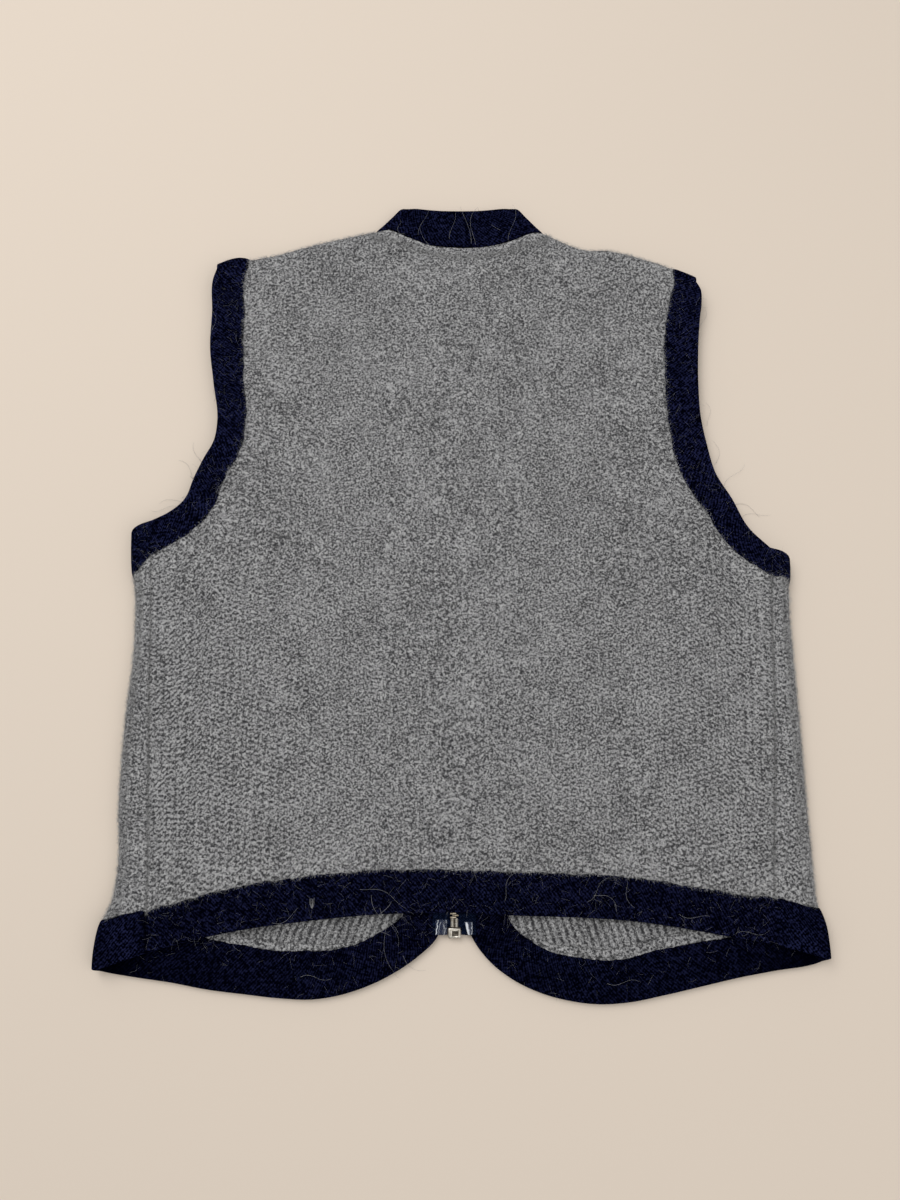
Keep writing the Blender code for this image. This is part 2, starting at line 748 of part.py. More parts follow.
def neck_chart(side):
    """The row one turn below the back's neck edge, from the middle to the shoulder."""
    start, radius = shoulder(side, NECK_HALF)
    drop = math.pi * shoulder(side, SHOULDERS[1][0])[1]
    inside, turned = NECK_CURVE
    knots = [(x, NECK_BACK + rise) for x, rise in BACK_NECK[1:]]
    knots.append((NECK_HALF - inside, start + turned * math.pi * radius))
    knots.append((NECK_HALF, start + math.pi * radius))
    path = smooth_path(knots)
    turn_length = path[1][-1] - 1.12 * math.pi * radius      # the edge slants across the fold
    lengths = spread((0.0, turn_length, path[1][-1]), (NECK_STEPS - 1, FOLD_STEPS))
    return [at_length(path, length) - np.array((0.0, drop)) for length in lengths]


# The fronts

def fold_lengths(path):
    """Lengths where an edge crosses the side fold's steps, from its start on the floor to its end on top."""
    return [length_where(path, 0, FLAT + TURN * step / FOLD_STEPS) for step in range(FOLD_STEPS + 1)]


def front_armhole_strip(side):
    arm = PATHS[side]["front_armhole"]
    fold = fold_lengths(arm)[::-1]
    cuts = [0.0] + fold + [fold[-1] + FRONT_CORNER, arm[1][-1]]
    lengths = spread(cuts, (1,) * len(fold) + (CORNER_COLUMNS, ROWS_HIGH))
    bands = [ARMHOLE_BANDS[1][ARMHOLE_BANDS[0].index(side)]] + [BAND_AT_FOLD[side]] * len(fold)
    bands += [ARMHOLE_BAND] * (len(lengths) - len(bands))
    widths = [armhole_widths(band) for band in bands]
    under = front_seam(side, SEAM_AT_ARMHOLE[side] - BAND_WIDTH) - arm[0][0]
    strip = edge_strip(arm, lengths, widths, first=under, last=along_shoulder(side))
    for k in range(1, len(fold) + 1):
        strip[k] = [(strip[k][0][0], strip[k][0][1] + NOSE - width) for width in widths[k]]
    strip[-1] = [(across, shoulder_edge(side, across)) for across, _ in strip[-1]]
    return strip, len(fold)


def front_edge_strip(side):
    edge = PATHS[side]["front"]
    waist = length_where(edge, 1, FRONT_WAIST)
    corner = length_where(edge, 1, FRONT_HEM_CORNER)
    fold = fold_lengths(edge)
    counts = (ROWS_HIGH, ROWS_LOW, FRONT_COLUMNS + CORNER_COLUMNS) + (1,) * len(fold)
    lengths = spread([0.0, waist, corner] + fold + [edge[1][-1]], counts)
    seam = front_seam(side, seam_at_hem(side) + BAND_WIDTH) - edge[0][-1]
    strip = edge_strip(edge, lengths, [EDGE_COLUMNS] * len(lengths), first=(1.0, NECK_SLOPE), last=seam)
    for k in range(sum(counts[:3]), sum(counts[:3]) + len(fold)):
        strip[k] = [(strip[k][0][0], strip[k][0][1] + width - NOSE) for width in EDGE_COLUMNS]
    return strip


def front_half(side):
    """Charts of one front: its grids, the strips along its bound edges and its neck edge."""
    arm_strip, turned = front_armhole_strip(side)
    strip = front_edge_strip(side)
    corner = turned + CORNER_COLUMNS
    waist = ROWS_HIGH
    hem = waist + ROWS_LOW
    fold = hem + FRONT_COLUMNS + CORNER_COLUMNS
    inner = strip[:, -1]
    middle_row = line(inner[waist], arm_strip[corner][-1], FRONT_COLUMNS)
    waist_row = np.concatenate((middle_row, arm_strip[corner - 1:turned - 1:-1, -1]))
    hem_row = inner[hem:fold + 1]
    low = patch(hem_row, waist_row, inner[hem:waist - 1:-1], line(hem_row[-1], waist_row[-1], ROWS_LOW))
    turn_rows = [line(inner[fold + k], arm_strip[turned - k][-1], ROWS_LOW) for k in range(turned)]
    seam_rows = line(inner[-1], arm_strip[0][-1], ROWS_LOW)
    seam_rows[1:-1] = [front_seam(side, y) for _, y in seam_rows[1:-1]]
    turn = np.stack(turn_rows + [seam_rows], axis=1)
    neck = front_neck_path(side, inner[0])
    neck_row = [at_length(neck, length) for length in np.linspace(0.0, neck[1][-1], NECK_STEPS + 1)]
    shoulder_places = np.linspace(neck_row[-1][0], arm_strip[-1][-1][0], FRONT_COLUMNS - NECK_STEPS + 1)[1:]
    top_row = np.array(neck_row + [(across, shoulder_edge(side, across)) for across in shoulder_places])
    high = patch(middle_row, top_row, inner[waist::-1], arm_strip[corner:, -1])
    return {"grids": [low, turn, high, strip, arm_strip], "edge": strip, "arm": arm_strip,
            "neck": np.concatenate((strip[0], neck_row[1:]))}


def front_seam(side, y):
    return np.array((float(seam_chart(side, y)), y))


def shoulder_edge(side, across):
    """Height of a front's shoulder edge, under the fold, at a place on its chart."""
    x = across * fold_start(side, SIDE_FOLDS[-1][0])[0] / FLAT
    return shoulder(side, x)[0] - GAP


def front_neck_path(side, start):
    end = to_chart(side, NECK_HALF, SIDE_FOLDS[-1][0])
    knots = [(start[0] + share * (end - start[0]), start[1] + rise) for share, rise in FRONT_NECK[1:]]
    return smooth_path([start] + knots + [(end, shoulder_edge(side, end))])


# The collar

def collar(halves):
    """A stand band on the neck edge, folded flat at both neck points, as one wall."""
    rows = []
    for side, sign in SIDES:
        back_row = [back_point(side, *spot) for spot in halves[side]["back"]["neck"]]
        front_row = [front_point(side, *spot) for spot in reversed(halves[side]["front"]["neck"])]
        rows.append(collar_half(sign, back_row, front_row))
    stations = rows[0][::-1] + rows[1][1:]
    grid = [[base + (tip - base) * share for share in (0.0, 0.5, 1.0)] for base, tip in stations]
    return cloth_solid("collar", [with_normals(np.array(grid))], COLLAR_WALL, NAVY)


def collar_half(sign, back_row, front_row):
    """Base and top points of one half of the collar, from the centre back round the neck to the zip."""
    low = COLLAR_WALL / 2
    settled = REST - COLLAR_SINK
    fold_x = COLLAR_HALF - COLLAR_TURN
    tops = []
    for base in back_row[:-FOLD_STEPS - 1]:
        x = abs(base[0]) / NECK_HALF * COLLAR_HALF
        lift = falloff(fold_x - x, 0.0, COLLAR_SETTLE)
        height = settled + (low + 2 * COLLAR_TURN - settled) * lift
        tops.append((sign * x, COLLAR_TOP_BACK + COLLAR_ARCH * (x / COLLAR_HALF) ** 2, height))
    for step in range(FOLD_STEPS + 1):
        angle = math.pi * step / FOLD_STEPS
        drop = COLLAR_FOLD_DROP * step / FOLD_STEPS
        tops.append((sign * (fold_x + COLLAR_TURN * math.sin(angle)), COLLAR_TOP_BACK + COLLAR_ARCH - drop,
                     low + COLLAR_TURN * (1 + math.cos(angle))))
    shift = np.array((sign * ZIP_X, 0.0))
    knots = [np.array(row) for row in COLLAR_EDGE[1:]]
    knots = knots[:-2] + [knot + shift for knot in knots[-2:]]
    path = smooth_path(knots)
    count = len(front_row) - 1
    for i in range(1, count + 1):
        x, y = at_length(path, path[1][-1] * i / count)
        tops.append((sign * x, y, low))
    bases = back_row + front_row[1:]
    return [(seat(base, np.array(tip)), np.array(tip)) for base, tip in zip(bases, tops)]


def seat(base, tip):
    """The collar's lower edge, one gap away from the cloth's neck edge."""
    return base + unit(tip - base) * COLLAR_SEAT


def with_normals(grid):
    """Rows of (point, normal) pairs for a grid of points, normals from its neighbours."""
    rows = []
    for i in range(grid.shape[0]):
        row = []
        for j in range(grid.shape[1]):
            along = grid[min(i + 1, grid.shape[0] - 1), j] - grid[max(i - 1, 0), j]
            up = grid[i, min(j + 1, grid.shape[1] - 1)] - grid[i, max(j - 1, 0)]
            row.append((grid[i, j], unit(np.cross(along, up))))
        rows.append(row)
    return rows


# The zip

def chain_height(y):
    share = 1.0 - falloff(y, *CHAIN_RAMP)
    return CHAIN_LOW + (CHAIN_HIGH - CHAIN_LOW) * share


def tape_height(away, y):
    """Middle of a tape: level on the bound edge, sloping to the chain at its inner edge."""
    share = min(max((TAPE_SEATED - away) / (TAPE_SEATED - CHAIN_HALF), 0.0), 1.0)
    return TAPE_HEIGHT + (chain_height(y) - TAPE_HEIGHT) * share


def strip_section(sign, aways, y, rise, thickness):
    """Closed section of a thin strip that follows a tape, its middle raised by rise."""
    top = [(ZIP_X + sign * away, y, tape_height(away, y) + rise + thickness / 2) for away in aways]
    low = [(x, y, z - thickness) for x, y, z in reversed(top)]
    return top + low


def zip_rows():
    low, high = CHAIN_RAMP
    straight = list(np.linspace(CHAIN_ENDS[0] + 3.0, low, 6))
    return straight + list(np.linspace(low, high, 5))[1:]


def make_tape(side, sign):
    beside_box = BOX_SIZE[0] / 2 + GAP + 0.1
    beside_chain = CHAIN_HALF + GAP + 0.05
    rows = [(TAPE_ENDS[0], beside_box), (BOX_TOP + 0.3, beside_box), (BOX_TOP + 0.6, beside_chain)]
    rows += [(y, beside_chain) for y in zip_rows() + [TAPE_ENDS[1]]]
    sections = [strip_section(sign, (inner, TAPE_SEATED, TAPE_HALF), y, 0.0, TAPE_THICK) for y, inner in rows]
    return loft_solid("zip_tape_" + side, sections, strip_cap(3), TAPE)


def strip_cap(columns):
    last = 2 * columns - 1
    return [(i, i + 1, last - i - 1, last - i) for i in range(columns - 1)]


def make_film(side, sign):
    inner, outer = FILM_EDGES
    rise = TAPE_THICK / 2 + GAP + FILM_THICK / 2
    sections = [strip_section(sign, (inner, TAPE_SEATED, outer), y, rise, FILM_THICK) for y in FILM_ENDS]
    return loft_solid("zip_film_" + side, sections, strip_cap(3), FILM)


def make_chain():
    half, thick = CHAIN_HALF, CHAIN_THICK / 2
    flat = half * CHAIN_FLAT
    outline = ((-half, 0.0), (-flat, thick), (flat, thick), (half, 0.0), (flat, -thick), (-flat, -thick))
    places = [CHAIN_ENDS[0]] + zip_rows() + [CHAIN_ENDS[1]]
    sections = [[(ZIP_X + x, y, chain_height(y) + z) for x, z in outline] for y in places]
    return loft_solid("zip_chain", sections, [tuple(range(len(outline)))], BRASS)


def make_rod(name, x, ends, height, radius, material):
    """A short round rod along Y."""
    facets = 10
    turns = [math.tau * k / facets for k in range(facets)]
    sections = [[(x + radius * math.cos(a), y, height + radius * math.sin(a)) for a in turns] for y in ends]
    return loft_solid(name, sections, [tuple(range(facets))], material)


def make_box():
    """The zip's bottom box: rounded edges and a shallow recess in its upper face."""
    data = bmesh.new()
    bmesh.ops.create_cube(data, size=1.0)
    bmesh.ops.scale(data, vec=BOX_SIZE, verts=data.verts)
    bmesh.ops.bevel(data, geom=list(data.edges), offset=BOX_ROUND, segments=1, profile=0.5, affect="EDGES")
    upper = max(data.faces, key=lambda face: face.calc_center_median().z)
    bmesh.ops.inset_region(data, faces=[upper], thickness=BOX_RIM)
    recess = bmesh.ops.extrude_discrete_faces(data, faces=[upper])["faces"][0]
    bmesh.ops.translate(data, vec=(0, 0, -BOX_RECESS), verts=recess.verts)
    centre = (ZIP_X, BOX_TOP - BOX_SIZE[1] / 2, chain_height(BOX_TOP))
    bmesh.ops.translate(data, vec=centre, verts=data.verts)
    return finish("zip_box", data, NICKEL)


def mirrored(rows, start):
    """A closed outline from a table of half widths, round both sides of the zip's middle."""
    right = [(ZIP_X + half, start + along) for half, along in rows[1:]]
    left = [(ZIP_X - half, start + along) for half, along in rows[:0:-1]]
    return right + left


def make_slider():
    """Two plates joined by a post at the end where the tapes part."""
    inner = CHAIN_THICK / 2 + GAP
    outer = inner + SLIDER_PLATE
    plate = mirrored(SLIDER_OUTLINE, SLIDER_ENDS[0])
    post = mirrored(POST_OUTLINE, SLIDER_ENDS[0])
    levels = ((plate, -outer), (plate, -inner), (post, -inner),
              (post, inner), (plate, inner), (plate, outer))
    sections = [[(x, y, CHAIN_HIGH + z) for x, y in outline] for outline, z in levels]
    return loft_solid("zip_slider", sections, [tuple(range(len(plate)))], NICKEL)


def make_bridge():
    """The loop under the slider that holds the pull tab."""
    top = CHAIN_HIGH - CHAIN_THICK / 2 - GAP - SLIDER_PLATE - GAP
    near, far = BRIDGE_ENDS
    low = BRIDGE_LOW
    thick = BRIDGE_THICK
    bend = BRIDGE_ROUND
    near_corner = (near + thick, low + thick)
    far_corner = (far - thick, low + thick)
    path = (((near, top), (near + thick, top)), ((near, low + bend), near_corner),
            ((near + bend, low), near_corner), ((far - bend, low), far_corner),
            ((far, low + bend), far_corner), ((far, top), (far - thick, top)))
    left, right = ZIP_X - BRIDGE_HALF, ZIP_X + BRIDGE_HALF
    sections = [[(left, *out), (right, *out), (right, *inside), (left, *inside)] for out, inside in path]
    return loft_solid("zip_bridge", sections, [(0, 1, 2, 3)], NICKEL)


def make_pull():
    """The pull tab: a bar through the bridge, two arms round it and a flat tab, as one closed ring."""
    y, z = PULL_AXIS
    half = PULL_BAR / 2
    rim = mirrored(PULL_RIM, y)
    hole = mirrored(PULL_HOLE, y)
    data = bmesh.new()
    rings = []
    for outline, height in ((rim, z - half), (rim, z + half), (hole, z + half), (hole, z - half)):
        rings.append([data.verts.new((x, place, height)) for x, place in outline])
    for low, high in zip(rings, rings[1:] + rings[:1]):
        for i in range(len(low)):
            j = (i + 1) % len(low)
            data.faces.new((low[i], low[j], high[j], high[i]))
    return finish("zip_pull", data, NICKEL)


def make_stop(side, sign):
    thick = CHAIN_THICK / 2
    inner, outer = STOP_ACROSS
    corners = ((inner, -thick), (outer, -thick), (outer, thick), (inner, thick))
    sections = [[(ZIP_X + sign * x, y, CHAIN_HIGH + z) for x, z in corners] for y in STOP_ENDS]
    return loft_solid("zip_stop_" + side, sections, [(0, 1, 2, 3)], BRASS)


def make_zip():
    for side, sign in SIDES:
        make_tape(side, sign)
        make_film(side, sign)
        x = ZIP_X + sign * PIN_OFFSET
        make_rod("zip_pin_" + side, x, PIN_ENDS, chain_height(PIN_ENDS[0]), PIN_RADIUS, BRASS)
        make_stop(side, sign)
    make_chain()
    make_box()
    make_slider()
    make_bridge()
    make_pull()


def clear_scene():
    for item in list(bpy.data.objects):
        bpy.data.objects.remove(item, do_unlink=True)


def main():
    clear_scene()
    halves = {side: {"back": back_half(side), "front": front_half(side)} for side, _ in SIDES}
    back_grids = []
    strips = {}
    for side, _ in SIDES:
        back = {name: halves[side]["back"][name] for name in ("hem", "arm")}
        front = halves[side]["front"]
        back_grids += [place_grid(back_point, side, grid) for grid in halves[side]["back"]["grids"]]
        front_grids = [place_grid(front_point, side, grid) for grid in front["grids"]]
        cloth_solid("front_" + side, front_grids, WALL, WOOL)
        strips[side] = {"hem": place_grid(back_point, side, back["hem"]),
                        "edge": place_grid(front_point, side, front["edge"])}
        arm = place_grid(back_point, side, back["arm"])[::-1] + place_grid(front_point, side, front["arm"])
        binding("armhole_binding_" + side, arm)
    cloth_solid("back", back_grids, WALL, WOOL)
    binding("hem_binding_left", strips["left"]["edge"])
    back_hem = strips["right"]["hem"][::-1] + strips["left"]["hem"][1:]
    binding("hem_binding_right", strips["right"]["edge"] + back_hem)
    collar(halves)
    make_zip()


main()
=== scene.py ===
import math

import bmesh
import bpy
import numpy as np
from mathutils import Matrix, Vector
from mathutils.bvhtree import BVHTree


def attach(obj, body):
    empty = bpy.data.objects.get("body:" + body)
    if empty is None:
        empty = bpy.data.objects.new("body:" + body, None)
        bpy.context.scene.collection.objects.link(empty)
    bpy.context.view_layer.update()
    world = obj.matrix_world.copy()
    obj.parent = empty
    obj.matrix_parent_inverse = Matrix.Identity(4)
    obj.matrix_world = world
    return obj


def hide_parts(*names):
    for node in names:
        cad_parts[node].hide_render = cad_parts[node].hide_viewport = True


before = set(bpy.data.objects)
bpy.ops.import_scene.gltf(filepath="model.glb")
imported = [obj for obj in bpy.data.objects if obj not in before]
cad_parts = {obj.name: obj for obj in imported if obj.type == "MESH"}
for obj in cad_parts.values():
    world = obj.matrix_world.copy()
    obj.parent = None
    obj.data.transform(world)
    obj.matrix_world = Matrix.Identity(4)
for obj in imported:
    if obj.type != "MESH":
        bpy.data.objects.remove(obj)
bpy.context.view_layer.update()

# A vest laid flat with its back up. Lengths are millimetres until a mesh is finished:
# x runs to the wearer's right, y to the neck and z up.

garment = {
    "centring": (-0.54, 0.22, 0.0),     # puts the middle of the outline on the origin
    "wall": 2.6,                        # felted wool
    "bandWall": 0.9,                    # one leg of a folded binding
    "armholeBand": 25.5,
    "gap": 0.3,                         # between neighbouring pieces
    "zipX": -4.5,
    "zipEdge": 6.5,                     # the bindings' folds beside the zip
    "neckHalf": 70.5,
    "neckBack": 268.0,
    "neckFront": 190.0,
    "waistLine": 44.0,
    "flat": 240.0,                      # a front's chart: where the side fold's turn starts
    "turn": 12.0,
    "rest": 4.7,                        # heights of the middle of the back's cloth
    "overBand": 7.0,
    "overZip": 8.1,
    "hemLift": 1.2,
    "sliderLift": 1.6,
    "sliderMiddle": 209.0,
    "armholeCorner": 38.0,
    "frontCorner": 44.0,
    "hemCorner": 0.84,
    "frontWaist": 28.0,
    "frontHemCorner": -262.0,
    "neckSlope": 0.24,
    "straight": (55.0, -80.0),          # knots on the straight part of the zip's edge
    "hemStart": -262.0,                 # first guess at the side seam's lower end
}
wall, gap, flat, turn = garment["wall"], garment["gap"], garment["flat"], garment["turn"]
inside = wall / 2 + gap                 # middle of the cloth to the inside of a binding's leg
bound = inside + garment["bandWall"]    # and to its outside
nose = gap + garment["bandWall"]        # the cloth's cut edge to the binding's fold
zipX = garment["zipX"]
seamGap = 0.06                          # half the gap between the sewn edges at the sides
signs = {"left": -1.0, "right": 1.0}
# How the rows across a bound edge turn near its ends, along the edge or past the seam
endTurns = {
    "pastSeam": 28.0, "tipStep": 25.0, "armFromSeam": 38.0, "armFromTip": 48.0, "armFromFold": 22.0,
    "hemFromMiddle": 40.0, "hemFromSeam": 35.0, "edgeFromNeck": 36.0, "edgeFromFold": 20.0,
    "lookAlong": 6.0,
}

# Where each rise of the cloth is whole and where it has faded out
spreads = {
    "frontEdge": (30.0, 48.0), "zip": (14.0, 62.0), "zipTop": (222.0, 264.0), "slider": (9.0, 40.0),
    "armhole": (44.0, 86.0), "hem": (30.0, 50.0), "corner": (30.0, 60.0), "cornerStart": (112.0, 150.0),
    "side": (0.0, 52.0), "sideTop": (90.0, 130.0), "shoulder": (0.0, 46.0),
}
sideFolds = (
    ("y", "left", "right", "radius"),
    (-290, 250.0, 250.5, 4.4), (-262, 249.5, 251.0, 4.4), (-247, 247.0, 249.5, 4.4),
    (-235, 242.0, 246.0, 3.8), (-217, 239.2, 245.3, 3.3), (-165, 241.2, 244.0, 3.3),
    (-110, 240.6, 243.2, 3.3), (-55, 237.8, 242.0, 3.3), (-20, 239.0, 241.6, 3.5),
    (10, 242.4, 243.2, 3.9), (40, 244.2, 243.2, 3.9), (300, 244.2, 243.2, 3.9),
)
sideSeams = (("y", "left", "right"),
             (-290, 214.0, 213.0), (-220, 218.0, 218.0), (-90, 225.0, 227.0), (60, 231.0, 231.0))
shoulders = (
    ("x", "left", "right", "radius"),
    (40, 288.0, 289.0, 3.3), (65, 281.5, 280.5, 3.3), (85, 277.0, 270.5, 3.3), (100, 273.5, 265.0, 3.3),
    (117, 269.0, 264.5, 3.3), (135, 263.5, 260.5, 3.4), (155, 257.5, 253.0, 3.8), (167, 255.0, 247.8, 3.9),
    (174, 256.0, 244.6, 3.9), (181, 254.8, 241.6, 3.9), (188, 252.0, 238.2, 3.9), (200, 247.0, 233.0, 3.9),
)
backHem = (
    ("x", "left", "right"),
    (0, -239.2, -239.2), (40, -240.0, -241.6), (75, -242.2, -242.8), (110, -245.8, -244.6),
    (148, -250.4, -248.9), (185, -257.8, -255.3), (222, -267.6, -261.2),
)
frontEdge = (
    ("fromZip", "left", "right"),
    (6.5, -215, -215), (7.0, -240, -240), (12.5, -257.5, -257), (23, -267.5, -271), (40, -279, -284),
    (60, -288.5, -293), (80, -294.5, -298), (98, -297, -300), (118, -296.3, -299), (145, -293.5, -294),
    (170, -290.5, -288.5), (195, -286, -283), (220, -282.5, -278.5),
)
foldEdge = (("chart", "left", "right"), (240, -279, -273), (246, -277.5, -270.5), (252, -275.5, -268.5))
backArmhole = (
    ("leftX", "leftY", "rightX", "rightY"),
    (219, 47, 216, 35), (208, 57, 204.5, 59), (201, 76, 194, 78), (194.5, 91, 188.5, 101),
    (188, 104, 185, 124), (186, 119, 184.5, 148), (190.5, 152, 186, 180), (194.5, 180, 188.5, 205),
    (194.5, 212, 190.3, 219), (194.4, 239, 190.0, 229),
)
armholeBands = (
    ("share", "left", "right"),
    (0, 27.0, 21.8), (0.06, 24.4, 21.2), (0.125, 22.4, 21.8), (0.2, 22.6, 22.4), (0.3, 22.0, 24.5),
    (0.37, 22.2, 26.3), (0.45, 22.4, 26.0), (0.56, 23.6, 25.6), (0.69, 26.2, 26.2), (0.83, 25.6, 26.6),
    (0.93, 25.5, 24.2), (1, 25.5, 20.4),
)
bandAtFold = {"left": 34.5, "right": 20.0}
hemBands = (
    ("x", "left", "right"),
    (0, 28.4, 28.4), (40, 29.4, 29.0), (75, 29.8, 29.2), (110, 29.8, 29.2), (148, 29.1, 28.7),
    (185, 27.4, 28.9), (222, 27.2, 31.2),
)
frontBands = (
    ("chart", "left", "right"),
    (0, 28.0, 28.0), (30, 28.0, 28.0), (56, 28.6, 28.0), (80, 30.0, 29.2), (103, 32.0, 28.4),
    (117, 31.0, 28.6), (137, 30.8, 29.6), (160, 32.0, 29.0), (186, 32.8, 27.0), (225, 32.5, 31.0),
    (240, 32.5, 33.5), (252, 32.0, 32.5), (285, 29.5, 31.5),
)
frontArmhole = (
    ("leftX", "leftY", "rightX", "rightY"),
    (252, 37, 252, 17), (246, 32, 246, 12), (240, 30, 240, 11), (222, 36, 222, 22),
    (205, 50, 204, 40), (190, 70, 190, 66), (179, 96, 178, 98), (173, 128, 172, 132),
    (175, 170, 172, 168), (182, 212, 178, 206),
)
seamAtArmhole = {"left": 41.0, "right": 20.0}
shoulderTip = {"left": 192.0, "right": 186.8}
backNeck = (("x", "left", "right"), (23, 2.6, 1.6), (42, 9.2, 5.8), (59, 15.0, 11.6))
frontNeck = ((0.52, 15.0), (0.84, 40.0), (0.97, 62.0))
# Soft creases: a line from (x0, y0) to (x1, y1), its reach to either side and its height
creases = (
    (-152, 62, -96, -12, 24, 0.55), (142, 44, 96, -34, 27, 0.5), (-62, 214, -34, 122, 30, 0.45),
    (84, 205, 62, 118, 28, 0.5), (-118, -88, -150, -186, 23, 0.5), (114, -116, 146, -196, 22, 0.55),
    (22, -56, -12, -168, 36, 0.4), (-98, 152, -132, 104, 18, -0.25), (40, 60, 70, -10, 22, -0.25),
    (-60, -40, -84, -120, 20, -0.25), (120, 180, 150, 140, 18, 0.35), (-20, 236, 30, 232, 20, 0.3),
)


# Curves and distances

def unit(vectors):
    vectors = np.asarray(vectors, dtype=float)
    return vectors / np.linalg.norm(vectors, axis=-1, keepdims=True)


def falloff(distance, start, reach):
    share = np.clip((distance - start) / (reach - start), 0.0, 1.0)
    return 0.5 + 0.5 * np.cos(np.pi * share)


def smoothValue(xs, values, at):
    slopes = np.gradient(values, xs)
    at = np.clip(at, xs[0], xs[-1])
    i = np.clip(np.searchsorted(xs, at) - 1, 0, len(xs) - 2)
    span = xs[i + 1] - xs[i]
    t = (at - xs[i]) / span
    rise = values[i + 1] - values[i]
    bend = (slopes[i] * span - rise) * (1 - t) + (rise - slopes[i + 1] * span) * t
    return values[i] + rise * t + t * (1 - t) * bend


def column(table, name, at):
    rows = np.array(table[1:], dtype=float)
    return smoothValue(rows[:, 0], rows[:, table[0].index(name)], at)


# The named columns of each row
def rowsOf(table, *names):
    places = [table[0].index(name) for name in names]
    return [tuple(row[place] for place in places) for row in table[1:]]


# Lengths along a row of points, from its first one
def lengthsAlong(points):
    return np.concatenate(([0.0], np.cumsum(np.linalg.norm(np.diff(points, axis=0), axis=1))))


def smoothPath(knots, spacing=2.5):
    knots = np.array(knots, dtype=float)
    places = lengthsAlong(knots)
    counts = [max(2, round(length / spacing) + 1) - 1 for length in np.diff(places)]
    dense = spread(places, counts)
    points = np.column_stack([smoothValue(places, knots[:, k], dense) for k in range(2)])
    return points, lengthsAlong(points)


def atLength(path, length):
    return np.stack([np.interp(length, path[1], path[0][:, k]) for k in range(2)], axis=-1)


def lengthWhere(path, axis, value):
    points, lengths = path
    offset = points[:, axis] - value
    i = int(np.nonzero(offset[:-1] * offset[1:] <= 0)[0][0])
    return lengths[i] + offset[i] / (offset[i] - offset[i + 1]) * (lengths[i + 1] - lengths[i])


def spread(cuts, counts):
    stretches = [np.linspace(a, b, n + 1)[:-1] for a, b, n in zip(cuts, cuts[1:], counts)]
    return np.concatenate(stretches + [[cuts[-1]]])


def distanceTo(path, x, y):
    nearest = np.full(np.shape(x), 1e9)
    for px, py in path[0][::2]:
        nearest = np.minimum(nearest, (x - px) ** 2 + (y - py) ** 2)
    return np.sqrt(nearest)


def line(start, end, count):
    return np.linspace(start, end, count + 1)


def patch(bottom, top, inner, outer):
    across = np.linspace(0, 1, len(bottom))[None, :, None]
    up = np.linspace(0, 1, len(inner))[:, None, None]
    corners = ((1 - up) * ((1 - across) * bottom[0] + across * bottom[-1])
               + up * ((1 - across) * top[0] + across * top[-1]))
    return ((1 - up) * bottom[None] + up * top[None]
            + (1 - across) * inner[:, None] + across * outer[:, None] - corners)


# Rows across a bound edge, inwards on the left of the path. A control turns the rows at its length.
def edgeStrip(path, lengths, bands, shares, controls):
    reach, end = endTurns["lookAlong"], path[1][-1]
    ahead, behind = np.minimum(lengths + reach, end), np.maximum(lengths - reach, 0.0)
    along = unit(atLength(path, ahead) - atLength(path, behind))
    square = np.stack((-along[:, 1], along[:, 0]), axis=-1)
    inward = square.copy()
    for (a, first), (b, last) in zip(controls, controls[1:]):
        here = (lengths >= a - 0.001) & (lengths <= b + 0.001)
        share = ((lengths[here] - a) / (b - a))[:, None]
        start = square[here] if first is None else unit(first)[None]
        end = square[here] if last is None else unit(last)[None]
        inward[here] = unit(start * (1 - share) + end * share)
    widths = nose + (bands[:, None] - nose) * shares
    return atLength(path, lengths)[:, None] + inward[:, None] * widths[:, :, None]


# Slides the rows beside a seam so that the end row lies on the seam's own curve
def onSeam(strip, rows, seam, side, last=True):
    end = -1 if last else 0
    off = seam(side, strip[end, :, 1])[:, 0] - strip[end, :, 0]
    for k in range(rows):
        strip[end - k if last else k, :, 0] += off * (1 - k / rows)


# Shape of the garment

def foldStart(side, y):
    radius = column(sideFolds, "radius", y)
    return column(sideFolds, side, y) - radius, radius


def shoulder(side, x):
    radius = column(shoulders, "radius", x)
    return column(shoulders, side, x) - radius, radius


def toChart(side, x, y):
    return x * flat / foldStart(side, y)[0]


def seamChart(side, y):
    start = foldStart(side, y)[0]
    return flat + turn + (start - column(sideSeams, side, y) - seamGap) * flat / start


def seamAtHem(side):
    y = garment["hemStart"]
    for _ in range(4):
        y = float(column(backHem, side, column(sideSeams, side, y)))
    return y


def backSeam(side, y):
    return np.stack((column(sideSeams, side, y) - seamGap, np.asarray(y, dtype=float)), axis=-1)


def frontSeam(side, y):
    return np.stack((seamChart(side, y), np.asarray(y, dtype=float)), axis=-1)


def frontEdgePath(side):
    sign = signs[side]
    knots = [(sign * zipX + garment["zipEdge"], y) for y in (garment["neckFront"], *garment["straight"])]
    for fromZip, y in rowsOf(frontEdge, "fromZip", side):
        knots.append((float(toChart(side, sign * zipX + fromZip, y)), y))
    knots += rowsOf(foldEdge, "chart", side)
    y = seamAtHem(side)
    return smoothPath(knots + [(float(seamChart(side, y)), y)])


def backHemPath(side):
    seam = float(column(sideSeams, side, seamAtHem(side))) - seamGap
    return smoothPath([(x, float(column(backHem, side, x))) for x in np.linspace(0, seam, 10)])


def armholePath(table, side, start, end):
    return smoothPath([start, *rowsOf(table, side + "X", side + "Y"), end])


